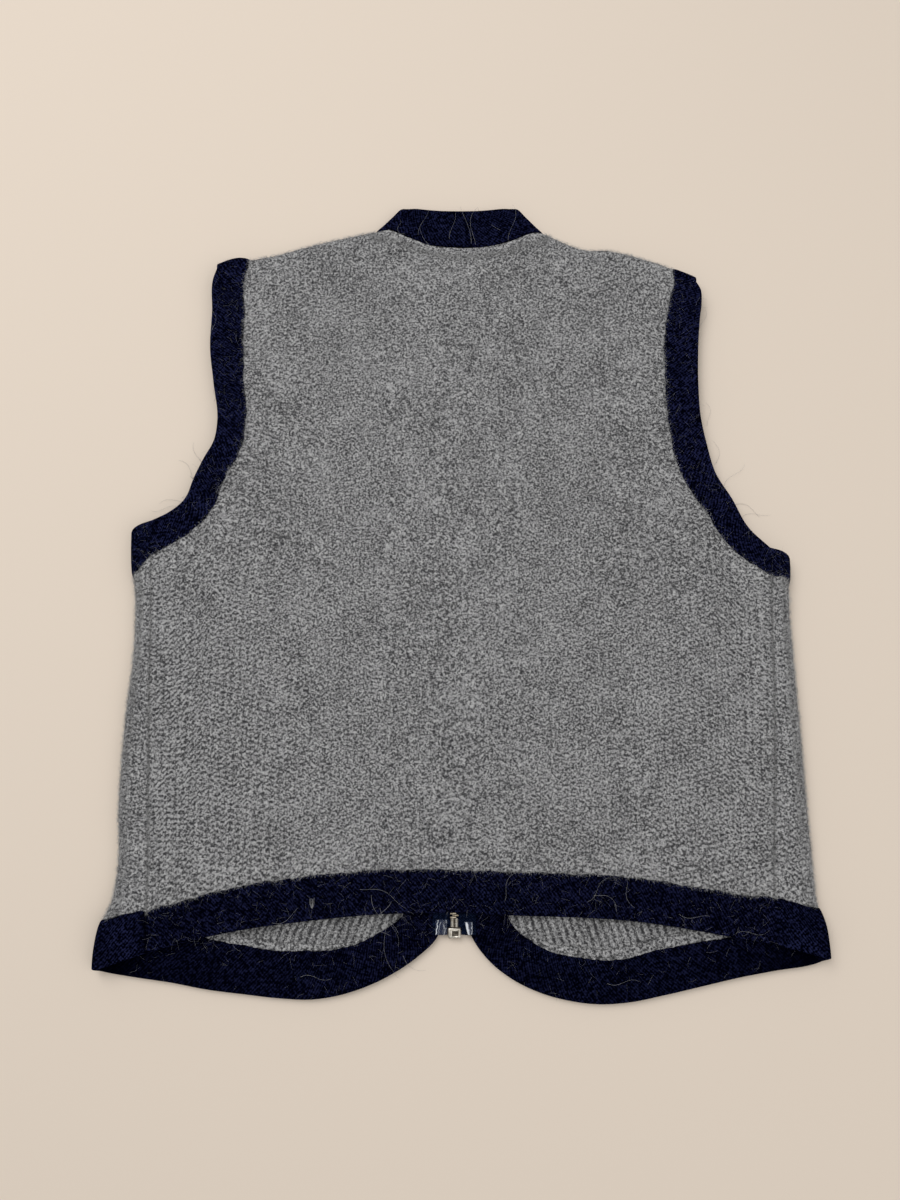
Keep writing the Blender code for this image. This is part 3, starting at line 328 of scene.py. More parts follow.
def makePaths(side):
    y, tip = seamAtArmhole[side], shoulderTip[side]
    top = float(shoulder(side, tip)[0])
    backEnds = ((float(column(sideSeams, side, y)) - seamGap, y), (tip, top))
    frontEnds = ((float(seamChart(side, y)), y), (float(toChart(side, tip, top - gap)), top - gap))
    return {"front": frontEdgePath(side), "hem": backHemPath(side),
            "backArmhole": armholePath(backArmhole, side, *backEnds),
            "frontArmhole": armholePath(frontArmhole, side, *frontEnds)}


paths = {side: makePaths(side) for side in signs}


def lowHeight(side, across, y):
    nearest = np.minimum(*(distanceTo(paths[side][name], across, y) for name in ("front", "frontArmhole")))
    return wall / 2 + (bound - wall / 2) * falloff(nearest, *spreads["frontEdge"])


def creaseHeight(x, y):
    height = np.zeros(np.shape(x))
    for x0, y0, x1, y1, reach, rise in creases:
        dx, dy = x1 - x0, y1 - y0
        share = np.clip(((x - x0) * dx + (y - y0) * dy) / (dx * dx + dy * dy), 0.0, 1.0)
        away = np.hypot(x - x0 - share * dx, y - y0 - share * dy)
        height += rise * falloff(away, 0.0, reach) * (0.65 + 0.35 * np.sin(np.pi * share))
    return height


def highSide(side, away, y):
    x = signs[side] * away
    rest, lift = garment["rest"], garment["hemLift"]
    fromZip = np.abs(x - zipX)
    zipShare = falloff(fromZip, *spreads["zip"]) * falloff(y, *spreads["zipTop"])
    zipRise = (garment["overZip"] - rest) * zipShare
    fromSlider = np.hypot(fromZip, y - garment["sliderMiddle"])
    armhole = distanceTo(paths[side]["backArmhole"], away, y)
    armholeRise = (garment["overBand"] + lift - rest) * falloff(armhole, *spreads["armhole"])
    fromHem = distanceTo(paths[side]["hem"], away, y)
    cornerRise = (garment["overBand"] - rest) * falloff(fromHem, *spreads["corner"])
    cornerRise = cornerRise * (1.0 - falloff(away, *spreads["cornerStart"]))
    blended = (zipRise ** 4 + armholeRise ** 4 + cornerRise ** 4) ** 0.25
    settled = rest + blended + lift * falloff(fromHem, *spreads["hem"]) + creaseHeight(x, y)
    settled = settled + garment["sliderLift"] * falloff(fromSlider, *spreads["slider"])
    start, radius = foldStart(side, y)
    crest = lowHeight(side, np.full(np.shape(y), flat), y) + 2 * radius
    sideShare = falloff(start - away, *spreads["side"]) * falloff(y, *spreads["sideTop"])
    outsideNeck = np.maximum(away, garment["neckHalf"] - 5.0)
    top, topRadius = shoulder(side, outsideNeck)
    shoulderCrest = lowHeight(side, toChart(side, outsideNeck, top), top) + 2 * topRadius
    fromShoulder = np.hypot(np.maximum(top - y, 0.0), outsideNeck - away)
    height = settled + (crest - settled) * sideShare
    return height + (shoulderCrest - height) * falloff(fromShoulder, *spreads["shoulder"])


def highHeight(x, y):
    return np.where(x < 0, highSide("left", -x, y), highSide("right", x, y))


def frontPoint(side, across, y):
    start, radius = foldStart(side, y)
    angle = np.pi * np.clip((across - flat) / turn, 0.0, 1.0)
    past = np.maximum(across - flat - turn, 0.0)
    away = np.minimum(across, flat) * start / flat + radius * np.sin(angle) - past * start / flat
    x = signs[side] * away
    z = lowHeight(side, np.minimum(across, flat), y) + radius * (1 - np.cos(angle))
    return np.stack((x, y, np.where(past > 0, highHeight(x, y), z)), axis=-1)


def backPoint(side, away, y):
    x = signs[side] * away
    start, radius = shoulder(side, away)
    angle = np.maximum(y - start, 0.0) / radius
    level = np.minimum(y, start)
    top = highHeight(x, level)
    return np.stack((x, level + radius * np.sin(angle), top - radius * (1 - np.cos(angle))), axis=-1)


# Points and outward normals of chart places
def placed(point, side, chart):
    across, y = chart[..., 0], chart[..., 1]
    step = 0.4
    alongX = point(side, across + step, y) - point(side, across - step, y)
    alongY = point(side, across, y + step) - point(side, across, y - step)
    normals = unit(np.cross(alongX, alongY)) * signs[side]
    return point(side, across, y), normals if point is backPoint else -normals


# Charts of the pieces, and the strips that their bindings cover

backMesh = {"neck": 22, "fold": 8, "shoulder": 36, "corner": 14, "low": 126, "high": 106, "turns": 8}
frontMesh = {"across": 112, "corner": 14, "low": 136, "high": 22, "turns": 8, "seam": 9, "neck": 40}
stitch = {"across": 2.75, "up": 2.0}       # half a stitch across, and half a row
threeShares = np.array((0.0, 0.5, 1.0))    # rows of the cloth under a binding
hiddenWeave = 26.0                         # how far the weave runs on under a binding
aboveNeck = 300
# Where the neck's edge goes over the shoulder: inward in mm, the others in half turns of the roll
neckTurn = {"inward": 2.5, "halfway": 0.55, "length": 1.12}


# Which way an armhole's rows lie at its two ends: along the side seam and along the shoulder
def armholeEnds(side, seam, arm):
    step, tip = endTurns["tipStep"], shoulderTip[side]
    under = seam(side, seamAtArmhole[side] - endTurns["pastSeam"]) - arm[0][0]
    return under, (-step, float(shoulder(side, tip - step)[0] - shoulder(side, tip)[0]))


def backStrips(side, shares):
    m, path = backMesh, paths[side]
    arm, hem = path["backArmhole"], path["hem"]
    end = arm[1][-1]
    armLengths = spread((0.0, garment["armholeCorner"], end), (m["corner"], m["high"]))
    bands = column(armholeBands, side, armLengths / end)
    under, slope = armholeEnds(side, backSeam, arm)
    armStrip = edgeStrip(arm, armLengths, bands, shares,
                         [(0.0, under), (endTurns["armFromSeam"], None),
                          (end - endTurns["armFromTip"], None), (end, slope)])
    armStrip[-1, :, 1] = shoulder(side, armStrip[-1, :, 0])[0]
    onSeam(armStrip, m["corner"], backSeam, side, last=False)
    end = hem[1][-1]
    columns = m["neck"] + m["fold"] + m["shoulder"]
    hemLengths = spread((0.0, end * garment["hemCorner"], end), (columns, m["corner"]))
    seam = backSeam(side, hem[0][-1][1] + endTurns["pastSeam"]) - hem[0][-1]
    bands = column(hemBands, side, atLength(hem, hemLengths)[:, 0])
    hemStrip = edgeStrip(hem, hemLengths, bands, shares,
                         [(0.0, (0, 1)), (endTurns["hemFromMiddle"], None),
                          (end - endTurns["hemFromSeam"], None), (end, seam)])
    onSeam(hemStrip, m["corner"], backSeam, side)
    return armStrip, armLengths, hemStrip, hemLengths


def rolled(side, row):
    steps = np.linspace(0, 1, backMesh["turns"] + 1)[:, None]
    rise = np.pi * shoulder(side, row[:, 0])[1] * steps
    return np.stack((np.repeat(row[None, :, 0], len(steps), axis=0), row[None, :, 1] + rise), axis=-1)


def neckChart(side):
    start, radius = (float(v) for v in shoulder(side, garment["neckHalf"]))
    drop = np.pi * float(shoulder(side, 40)[1])
    knots = [(0.0, garment["neckBack"])]
    knots += [(x, garment["neckBack"] + rise) for x, rise in rowsOf(backNeck, "x", side)]
    knots += [(garment["neckHalf"] - neckTurn["inward"], start + neckTurn["halfway"] * np.pi * radius)]
    path = smoothPath(knots + [(garment["neckHalf"], start + np.pi * radius)])
    turned = path[1][-1] - neckTurn["length"] * np.pi * radius
    lengths = spread((0.0, turned, path[1][-1]), (backMesh["neck"], backMesh["fold"]))
    return atLength(path, lengths) - np.array((0.0, drop))


def weaveOf(u, v, strength):
    return np.stack(np.broadcast_arrays(np.asarray(u, float), np.asarray(v, float), strength), axis=-1)


# How clearly the stitches stand out of the felt: most in the lower corners
stitchLook = {
    "low": (-150.0, 90.0), "middle": (50.0, 200.0), "everywhere": 0.3, "below": 0.08, "aside": 0.24,
    "leftCorner": 0.62, "rightCorner": 0.34,
}


def stitchStrength(x, y):
    s = stitchLook
    low = falloff(y, *s["low"])
    sides = 1.0 - falloff(np.abs(x), *s["middle"])
    corner = np.where(x < 0, s["leftCorner"], s["rightCorner"]) * low * sides
    return s["everywhere"] + s["below"] * low + s["aside"] * sides + corner


def backGrids(side):
    m, sign = backMesh, signs[side]
    armStrip, _, hemStrip, _ = backStrips(side, threeShares)
    neck = neckChart(side)
    xs = np.linspace(garment["neckHalf"], armStrip[-1, -1, 0], m["shoulder"] + 1)[1:]
    topRow = np.concatenate((neck, np.stack((xs, shoulder(side, xs)[0]), axis=-1)))
    columns, corner = len(topRow) - 1, m["corner"]
    hemRow = hemStrip[:, -1]
    middleRow = line((0.0, garment["waistLine"]), armStrip[corner, -1], columns)
    waistRow = np.concatenate((middleRow, armStrip[corner - 1::-1, -1]))
    seam = backSeam(side, np.linspace(hemRow[-1][1], waistRow[-1][1], m["low"] + 1))
    seam[0], seam[-1] = hemRow[-1], waistRow[-1]
    low = patch(hemRow, waistRow, line(hemRow[0], waistRow[0], m["low"]), seam)
    high = patch(middleRow, topRow, line(middleRow[0], topRow[0], m["high"]), armStrip[corner:, -1])
    roll, armRoll = rolled(side, topRow), rolled(side, armStrip[-1])
    du, dv = stitch["across"], stitch["up"]
    i, j = np.arange(columns + corner + 1), np.arange(m["low"] + 1)
    k = np.arange(m["high"] + 1) + m["low"]
    t = np.arange(m["turns"] + 1) + m["low"] + m["high"]
    behind = (threeShares - 1.0) * hiddenWeave
    around = np.arange(corner + m["high"] + 1)[:, None]
    armU = np.where(around < corner, (columns + corner - around) * du, columns * du - behind)
    armV = np.where(around < corner, m["low"] * dv - behind, (m["low"] + around - corner) * dv)
    upper = sign * i[None, :columns + 1] * du
    return {
        "low": (low, sign * i[None] * du, j[:, None] * dv),
        "high": (high, upper, k[:, None] * dv),
        "roll": (roll, upper, t[:, None] * dv),
        "hem": (hemStrip, sign * i[:, None] * du, behind[None]),
        "arm": (armStrip, sign * armU, armV),
        "armRoll": (armRoll, sign * (columns * du - behind[None]), t[:, None] * dv),
    }, rolled(side, neck)[-1]


def frontStrips(side, shares):
    m, path = frontMesh, paths[side]
    arm, edge = path["frontArmhole"], path["front"]
    turns = [flat + turn * k / m["turns"] for k in range(m["turns"] + 1)]
    ones = (1,) * m["turns"]
    fold = [lengthWhere(arm, 0, place) for place in turns][::-1]
    end, pastFold = arm[1][-1], fold[-1] + endTurns["armFromFold"]
    armLengths = spread([0.0, *fold, fold[-1] + garment["frontCorner"], end],
                        (m["seam"], *ones, m["corner"], m["high"]))
    bands = np.interp(armLengths, (0.0, fold[0], fold[-1], pastFold),
                      (rowsOf(armholeBands, side)[0][0], bandAtFold[side], bandAtFold[side],
                       garment["armholeBand"]))
    under, slope = armholeEnds(side, frontSeam, arm)
    armStrip = edgeStrip(arm, armLengths, bands, shares,
                         [(0.0, under), (fold[0], (0, -1)), (fold[-1], (0, -1)), (pastFold, None),
                          (end - endTurns["armFromTip"], None), (end, slope)])
    armStrip[-1, :, 1] = shoulderEdge(side, armStrip[-1, :, 0])
    onSeam(armStrip, m["seam"], frontSeam, side, last=False)
    folds = [lengthWhere(edge, 0, place) for place in turns]
    waist, corner = (lengthWhere(edge, 1, garment[name]) for name in ("frontWaist", "frontHemCorner"))
    end = edge[1][-1]
    edgeLengths = spread([0.0, waist, corner, *folds, end],
                         (m["high"] * 3, m["low"], m["across"] + m["corner"], *ones, m["seam"]))
    seam = frontSeam(side, seamAtHem(side) + endTurns["pastSeam"]) - edge[0][-1]
    bands = column(frontBands, side, atLength(edge, edgeLengths)[:, 0])
    strip = edgeStrip(edge, edgeLengths, bands, shares,
                      [(0.0, (1.0, garment["neckSlope"])), (endTurns["edgeFromNeck"], None),
                       (folds[0] - endTurns["edgeFromFold"], None), (folds[0], (0, 1)), (folds[-1], (0, 1)),
                       (end, seam)])
    onSeam(strip, m["seam"], frontSeam, side)
    return armStrip, armLengths, strip, edgeLengths


# The front's end under the shoulder, where the fold's line no longer changes
def shoulderEdge(side, across):
    x = across * foldStart(side, aboveNeck)[0] / flat
    return shoulder(side, x)[0] - gap


def frontGrids(side):
    m = frontMesh
    armStrip, _, strip, _ = frontStrips(side, threeShares)
    turned = m["seam"] + m["turns"]
    corner, waist = turned + m["corner"], m["high"] * 3
    hem = waist + m["low"]
    fold = hem + m["across"] + m["corner"]
    inner = strip[:, -1]
    middleRow = line(inner[waist], armStrip[corner, -1], m["across"])
    waistRow = np.concatenate((middleRow, armStrip[corner - 1:turned - 1:-1, -1]))
    low = patch(inner[hem:fold + 1], waistRow, inner[hem:waist - 1:-1],
                line(inner[fold], waistRow[-1], m["low"]))
    columns = [line(inner[fold + k], armStrip[turned - k, -1], m["low"]) for k in range(turned + 1)]
    seamOff = frontSeam(side, columns[-1][1:-1, 1])[:, 0] - columns[-1][1:-1, 0]
    for k in range(m["seam"] + 1):
        columns[m["turns"] + k][1:-1, 0] += seamOff * k / m["seam"]
    turnGrid = np.stack(columns, axis=1)
    neckEnd = float(toChart(side, garment["neckHalf"], aboveNeck))
    x, y = inner[0]
    knots = [(x, y)] + [(x + share * (neckEnd - x), y + rise) for share, rise in frontNeck]
    neck = smoothPath(knots + [(neckEnd, float(shoulderEdge(side, neckEnd)))])
    neckRow = atLength(neck, np.linspace(0.0, neck[1][-1], m["neck"] + 1))
    xs = np.linspace(neckRow[-1][0], armStrip[-1, -1, 0], m["across"] - m["neck"] + 1)[1:]
    topRow = np.concatenate((neckRow, np.stack((xs, shoulderEdge(side, xs)), axis=-1)))
    high = patch(middleRow, topRow, inner[waist::-3], armStrip[corner:, -1])
    edgeHigh = strip[:waist + 1:3]
    grids = {"low": low, "fold": turnGrid, "high": high, "edgeHigh": edgeHigh, "edge": strip[waist:],
             "arm": armStrip}
    return grids, np.concatenate((edgeHigh[0], neckRow[1:]))


# Meshes

weld = {"cloth": 0.06, "rings": 0.0005}     # distance at which points become one


def finishMesh(name, data, materials):
    bmesh.ops.translate(data, vec=garment["centring"], verts=data.verts)
    bmesh.ops.scale(data, vec=(0.001, 0.001, 0.001), verts=data.verts)
    mesh = bpy.data.meshes.new(name)
    data.to_mesh(mesh)
    data.free()
    for material in materials:
        mesh.materials.append(material)
    mesh.shade_smooth()
    piece = bpy.data.objects.new(name, mesh)
    bpy.context.scene.collection.objects.link(piece)
    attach(piece, "vest")
    return piece


# A finished piece from plain lists of points and faces
def listedMesh(name, verts, faces, material):
    mesh = bpy.data.meshes.new(name)
    mesh.from_pydata(verts.tolist(), [], faces)
    data = bmesh.new()
    data.from_mesh(mesh)
    bpy.data.meshes.remove(mesh)
    return finishMesh(name, data, [material])


def bevelled(data, offset, segments):
    bmesh.ops.bevel(data, geom=data.edges[:], offset=offset, offset_type="OFFSET", segments=segments,
                    profile=0.5, affect="EDGES", material=-1)


# Lays a grid of points into the mesh, with its place in the weave
def layGrid(data, points, weave):
    layer = data.verts.layers.float_vector["weave"]
    rows, columns = points.shape[:2]
    made = bmesh.ops.create_grid(data, x_segments=columns - 1, y_segments=rows - 1, size=1.0)["verts"]
    for vert, place, spot in zip(made, points.reshape(-1, 3), weave.reshape(-1, 3)):
        vert.co = place
        vert[layer] = spot
    return made


# One sheet through all the grids, each turned to face out, and then made a closed wall
def clothShell(grids, thickness):
    data = bmesh.new()
    data.verts.layers.float_vector.new("weave")
    for points, normals, weave in grids:
        before = len(data.faces)
        made = layGrid(data, points + normals * thickness / 2, weave)
        data.faces.ensure_lookup_table()
        data.normal_update()
        row, place = points.shape[0] // 2, points.shape[1] // 2
        if made[row * points.shape[1] + place].normal.dot(Vector(normals[row, place])) < 0:
            bmesh.ops.reverse_faces(data, faces=data.faces[before:])
    bmesh.ops.remove_doubles(data, verts=data.verts, dist=weld["cloth"])
    outer = len(data.verts)
    bmesh.ops.solidify(data, geom=data.faces[:], thickness=thickness)
    data.verts.ensure_lookup_table()
    data.normal_update()
    return data, outer


def vertArrays(data):
    layer = data.verts.layers.float_vector["weave"]
    places = np.array([vert.co for vert in data.verts])
    normals = np.array([vert.normal for vert in data.verts])
    weave = np.array([vert[layer] for vert in data.verts])
    return places, normals, weave


def shiftVerts(data, places, weave):
    layer = data.verts.layers.float_vector["weave"]
    for vert, place, spot in zip(data.verts, places, weave):
        vert.co = (place[0], place[1], max(place[2], 0.0))
        vert[layer] = spot


# A closed tube of band cloth through rings of points, a row for each ring, both ends filled
def bandSolid(name, rings, lengths, strength):
    steps = np.linalg.norm(np.diff(rings, axis=1), axis=-1)
    around = np.concatenate((np.zeros((len(rings), 1)), np.cumsum(steps, axis=1)), axis=1)
    weave = weaveOf(lengths[:, None], around, strength)
    data = bmesh.new()
    data.verts.layers.float_vector.new("weave")
    layGrid(data, *(np.concatenate((rows, rows[:, :1]), axis=1) for rows in (rings, weave)))
    bmesh.ops.remove_doubles(data, verts=data.verts, dist=weld["rings"])
    bmesh.ops.holes_fill(data, edges=[edge for edge in data.edges if edge.is_boundary], sides=0)
    bmesh.ops.recalc_face_normals(data, faces=data.faces)
    return finishMesh(name, data, [navy])


# The half round of a fold over a row of edges: degrees from the upper face to the lower
def foldOver(edge, out, up, reach, half, degrees):
    angles = np.radians(degrees)[None, :, None]
    return edge[:, None] + out[:, None] * (reach * np.sin(angles)) + up[:, None] * (half * np.cos(angles))


# Slow and quick swings together, for edges that aren't quite straight: length in mm and share
swings = ((41.0, 0.8), (17.0, 0.7), (8.3, 0.6), (4.1, 0.5), (2.3, 0.35))


def wave(at, amplitude, seed):
    rng = np.random.default_rng(seed)
    total = np.zeros(np.shape(at))
    for length, share in swings:
        total += share * np.sin(2 * np.pi * at / length * rng.uniform(0.85, 1.15) + rng.uniform(0, 6.28))
    return amplitude * total


# Materials

def calc(tree, operation, first, second=0.0):
    node = tree.nodes.new("ShaderNodeMath")
    node.operation = operation
    for socket, value in zip(node.inputs, (first, second)):
        if isinstance(value, (int, float)):
            socket.default_value = value
        else:
            tree.links.new(value, socket)
    return node.outputs[0]


def plus(tree, *terms):
    total = terms[0]
    for term in terms[1:]:
        total = calc(tree, "ADD", total, term)
    return total


def times(tree, first, second):
    return calc(tree, "MULTIPLY", first, second)


# A sum of sockets, each by its own share
def blend(tree, *parts):
    return plus(tree, *(times(tree, socket, share) for socket, share in parts))


def most(tree, first, *others):
    for other in others:
        first = calc(tree, "MAXIMUM", first, other)
    return first


def mapped(tree, value, low, high, start=0.0, end=1.0):
    node = tree.nodes.new("ShaderNodeMapRange")
    tree.links.new(value, node.inputs["Value"])
    for name, number in (("From Min", low), ("From Max", high), ("To Min", start), ("To Max", end)):
        node.inputs[name].default_value = number
    return node.outputs[0]


def noise(tree, vector, scale, detail=2.0, roughness=0.5, distortion=0.0):
    node = tree.nodes.new("ShaderNodeTexNoise")
    tree.links.new(vector, node.inputs["Vector"])
    for name, number in (("Scale", scale), ("Detail", detail), ("Roughness", roughness),
                         ("Distortion", distortion)):
        node.inputs[name].default_value = number
    return node.outputs["Fac"]


# Thin curling lines: where a noise crosses its middle
def strandLines(tree, vector, scale, width, distortion=1.0):
    crossing = calc(tree, "SUBTRACT", noise(tree, vector, scale, 0.6, 0.4, distortion), 0.5)
    return mapped(tree, calc(tree, "ABSOLUTE", crossing), 0.0, width, 1.0, 0.0)


# Short straight fibres that lie one way: a noise drawn out to a length and a width in metres
def strokes(tree, vector, angle, length, width, low, high):
    node = tree.nodes.new("ShaderNodeMapping")
    node.vector_type = "TEXTURE"
    tree.links.new(vector, node.inputs["Vector"])
    node.inputs["Location"].default_value = (0.013 * angle, 0.007 * angle, 0.0)
    node.inputs["Rotation"].default_value = (0.0, 0.0, math.radians(angle))
    node.inputs["Scale"].default_value = (length, width, length)
    return mapped(tree, noise(tree, node.outputs["Vector"], 1.0, 1.0, 0.5, 0.6), low, high)


def shifted(tree, vector, offset):
    node = tree.nodes.new("ShaderNodeMapping")
    tree.links.new(vector, node.inputs["Vector"])
    node.inputs["Location"].default_value = offset
    return node.outputs["Vector"]


def mixed(tree, factor, first, second, shader=None):
    node = tree.nodes.new("ShaderNodeMix")
    node.data_type = "RGBA"
    tree.links.new(factor, node.inputs["Factor"])
    for socket, colour in ((node.inputs[6], first), (node.inputs[7], second)):
        if isinstance(colour, tuple):
            socket.default_value = (*colour, 1.0)
        else:
            tree.links.new(colour, socket)
    if shader:
        tree.links.new(node.outputs[2], shader.inputs["Base Color"])
    return node.outputs[2]


def bumped(tree, shader, height, strength, distance):
    node = tree.nodes.new("ShaderNodeBump")
    node.inputs["Strength"].default_value = strength
    node.inputs["Distance"].default_value = distance
    tree.links.new(height, node.inputs["Height"])
    tree.links.new(node.outputs[0], shader.inputs["Normal"])


def newMaterial(name, roughness, sheen=0.0, metallic=0.0, specular=0.5):
    material = bpy.data.materials.new(name)
    material.use_nodes = True
    tree = material.node_tree
    shader = tree.nodes["Principled BSDF"]
    for socket, number in (("Roughness", roughness), ("Metallic", metallic), ("Sheen Weight", sheen),
                           ("Sheen Roughness", 0.6), ("Specular IOR Level", specular)):
        shader.inputs[socket].default_value = number
    place = tree.nodes.new("ShaderNodeTexCoord").outputs["Object"]
    return material, tree, shader, place


# Place across and along the weave in mm, and how strongly the weave shows
def weaveSockets(tree):
    attribute = tree.nodes.new("ShaderNodeAttribute")
    attribute.attribute_name = "weave"
    split = tree.nodes.new("ShaderNodeSeparateXYZ")
    tree.links.new(attribute.outputs["Vector"], split.inputs[0])
    return split.outputs


woolLook = {
    "dark": (0.036, 0.036, 0.039),
    "light": (0.335, 0.335, 0.343),
    "strand": (0.62, 0.62, 0.62),
    "fibre": (0.0034, 0.0009),                    # m
    "fibreAngles": (28.0, 94.0, 151.0),
    "curls": ((210.0, 0.060), (330.0, 0.075)),    # scale and width
    "stitchAcross": 5.25,                         # mm
    "stitchUp": 3.8,
    "rib": 6.25,
    "loop": 3.4,
    "tones": {"fibres": 0.36, "patches": 0.15, "stitches": 0.25, "ribs": 0.40, "curls": 0.62},
    "heights": {"pits": 1.2, "curls": 0.4, "fibres": 0.4, "stitches": 0.2, "ribs": 0.7},
}


# The third number of the weave is above 0 outside, where the stitches show, and below 0 inside
def woolMaterial():
    look, tones, heights = woolLook, woolLook["tones"], woolLook["heights"]
    material, tree, shader, place = newMaterial("greyWool", 0.95, sheen=0.08, specular=0.1)
    u, v, strength = weaveSockets(tree)
    outside = most(tree, strength, 0.0)
    inner = most(tree, times(tree, strength, -1.0), 0.0)
    wobble = calc(tree, "SUBTRACT", noise(tree, place, 160.0), 0.5)
    turn = plus(tree, times(tree, u, math.pi / look["stitchAcross"]), times(tree, wobble, 1.6))
    rise = plus(tree, times(tree, v, 2 * math.pi / look["stitchUp"]), times(tree, wobble, 3.4))
    waves = [calc(tree, "COSINE", times(tree, turn, float(k))) for k in (1, 2, 3, 4)]
    legs = calc(tree, "SUBTRACT", times(tree, waves[0], 2.0), waves[2])
    gaps = blend(tree, (waves[1], 0.6), (waves[3], 0.25))
    stitches = calc(tree, "SUBTRACT", times(tree, legs, calc(tree, "COSINE", rise)), gaps)
    stitches = times(tree, stitches, outside)
    ribTurn = times(tree, u, 2 * math.pi / look["rib"])
    doubled = calc(tree, "COSINE", times(tree, ribTurn, 2.0))
    loops = calc(tree, "COSINE", plus(tree, times(tree, v, 2 * math.pi / look["loop"]), ribTurn))
    ribs = plus(tree, calc(tree, "COSINE", ribTurn), times(tree, doubled, -0.4), times(tree, loops, 0.2))
    ribs = times(tree, ribs, inner)
    pits = noise(tree, place, 670.0, 1.0, 0.5, 0.4)
    patches = noise(tree, place, 40.0)
    fibres = most(tree, *(strokes(tree, place, angle, *look["fibre"], 0.5, 0.72)
                          for angle in look["fibreAngles"]))
    curls = most(tree, *(strandLines(tree, shifted(tree, place, (0.11 * k, 0.07 * k, 0.0)), scale, width)
                         for k, (scale, width) in enumerate(look["curls"])))
    curls = times(tree, curls, mapped(tree, pits, 0.4, 0.6, 0.2, 1.0))
    # Painted shade: the inside face, which lies under the back, is made darker
    # Painted shade: the pits, stitches and ribs also set the bump, and the colour is darker where they sink
    # it
    pitted = times(tree, mapped(tree, pits, 0.36, 0.64, -0.29, 0.76),
                   calc(tree, "SUBTRACT", 1.0, times(tree, inner, 0.45)))
    tone = plus(tree, calc(tree, "SUBTRACT", pitted, times(tree, inner, 0.07)),
                times(tree, fibres, tones["fibres"]),
                mapped(tree, patches, 0.3, 0.7, -tones["patches"], tones["patches"]),
                times(tree, stitches, tones["stitches"]), times(tree, ribs, tones["ribs"]))
    colour = mixed(tree, calc(tree, "MINIMUM", tone, 1.0), look["dark"], look["light"])
    mixed(tree, times(tree, curls, tones["curls"]), colour, look["strand"], shader)
    height = blend(tree, (pits, heights["pits"]), (curls, heights["curls"]), (fibres, heights["fibres"]),
                   (stitches, heights["stitches"]), (ribs, heights["ribs"]))
    bumped(tree, shader, height, 0.8, 0.0009)
    return material


bandLook = {
    "dark": (0.0003, 0.0004, 0.0024),
    "light": (0.0120, 0.0145, 0.0470),
    "twill": 2.4,                 # mm
}
tapeLook = {"dark": (0.0015, 0.0030, 0.0090), "light": (0.012, 0.020, 0.052), "twill": 1.6}


# A twill whose brightness follows the third number of the weave, which on the hem and armhole bindings
# holds the painted highlight on the folds and the painted shade under the back
def bandMaterial(name, look):
    material, tree, shader, place = newMaterial(name, 0.95, specular=0.0)
    u, v, brightness = weaveSockets(tree)
    stray = times(tree, noise(tree, place, 240.0), 1.3)
    slant = plus(tree, u, times(tree, v, 0.8), stray)
    ridge = calc(tree, "SINE", times(tree, slant, 2 * math.pi / look["twill"]))
    cross = calc(tree, "SUBTRACT", v, times(tree, u, 0.9))
    cross = calc(tree, "SINE", times(tree, cross, 2 * math.pi / (look["twill"] * 1.15)))
    grain = noise(tree, place, 520.0, 2.0, 0.6, 0.4)
    worn = noise(tree, shifted(tree, place, (0.4, 0.2, 0.0)), 60.0, 3.0, 0.6)
    tone = blend(tree, (ridge, 0.25), (cross, 0.13))
    tone = most(tree, plus(tree, tone, mapped(tree, grain, 0.36, 0.64, -0.30, 0.62)), 0.0)
    tone = times(tree, times(tree, tone, mapped(tree, worn, 0.3, 0.7, 0.6, 1.2)), brightness)
    mixed(tree, tone, look["dark"], look["light"], shader)
    bumped(tree, shader, blend(tree, (ridge, 0.5), (grain, 0.9), (cross, 0.3)), 0.6, 0.0004)
    return material


def metalMaterial(name, light, dark, roughness):
    material, tree, shader, place = newMaterial(name, roughness, metallic=1.0)
    tarnish = noise(tree, place, 700.0, 4.0, 0.65, 0.5)
    scuffs = noise(tree, shifted(tree, place, (0.2, 0.3, 0.1)), 2600.0, 2.0)
    mixed(tree, mapped(tree, tarnish, 0.38, 0.64), light, dark, shader)
    rough = plus(tree, mapped(tree, tarnish, 0.3, 0.7, roughness - 0.08, roughness + 0.14),
                 mapped(tree, scuffs, 0.3, 0.7, -0.04, 0.06))
    tree.links.new(rough, shader.inputs["Roughness"])
    bumped(tree, shader, scuffs, 0.15, 0.0001)
    return material


# Light on the films' wrinkles: y and distance from the zip at each end, half width, strength
filmStreaks = {
    "left": ((-244.7, 11.2, -254.4, 12.8, 0.5, 0.9), (-246.0, 9.7, -253.8, 11.0, 0.35, 0.5),
             (-247.5, 7.7, -250.5, 6.7, 0.4, 0.5), (-250.0, 5.6, -254.1, 7.3, 0.6, 0.5),
             (-244.8, 5.8, -246.5, 5.2, 0.7, 0.5)),
    "right": ((-246.3, 8.1, -254.4, 10.1, 1.4, 1.0), (-246.3, 12.3, -254.0, 12.1, 0.3, 0.7)),
}
filmLook = {"clear": (0.04, 0.055, 0.11), "shine": (0.72, 0.75, 0.80), "alpha": (0.25, 0.9)}


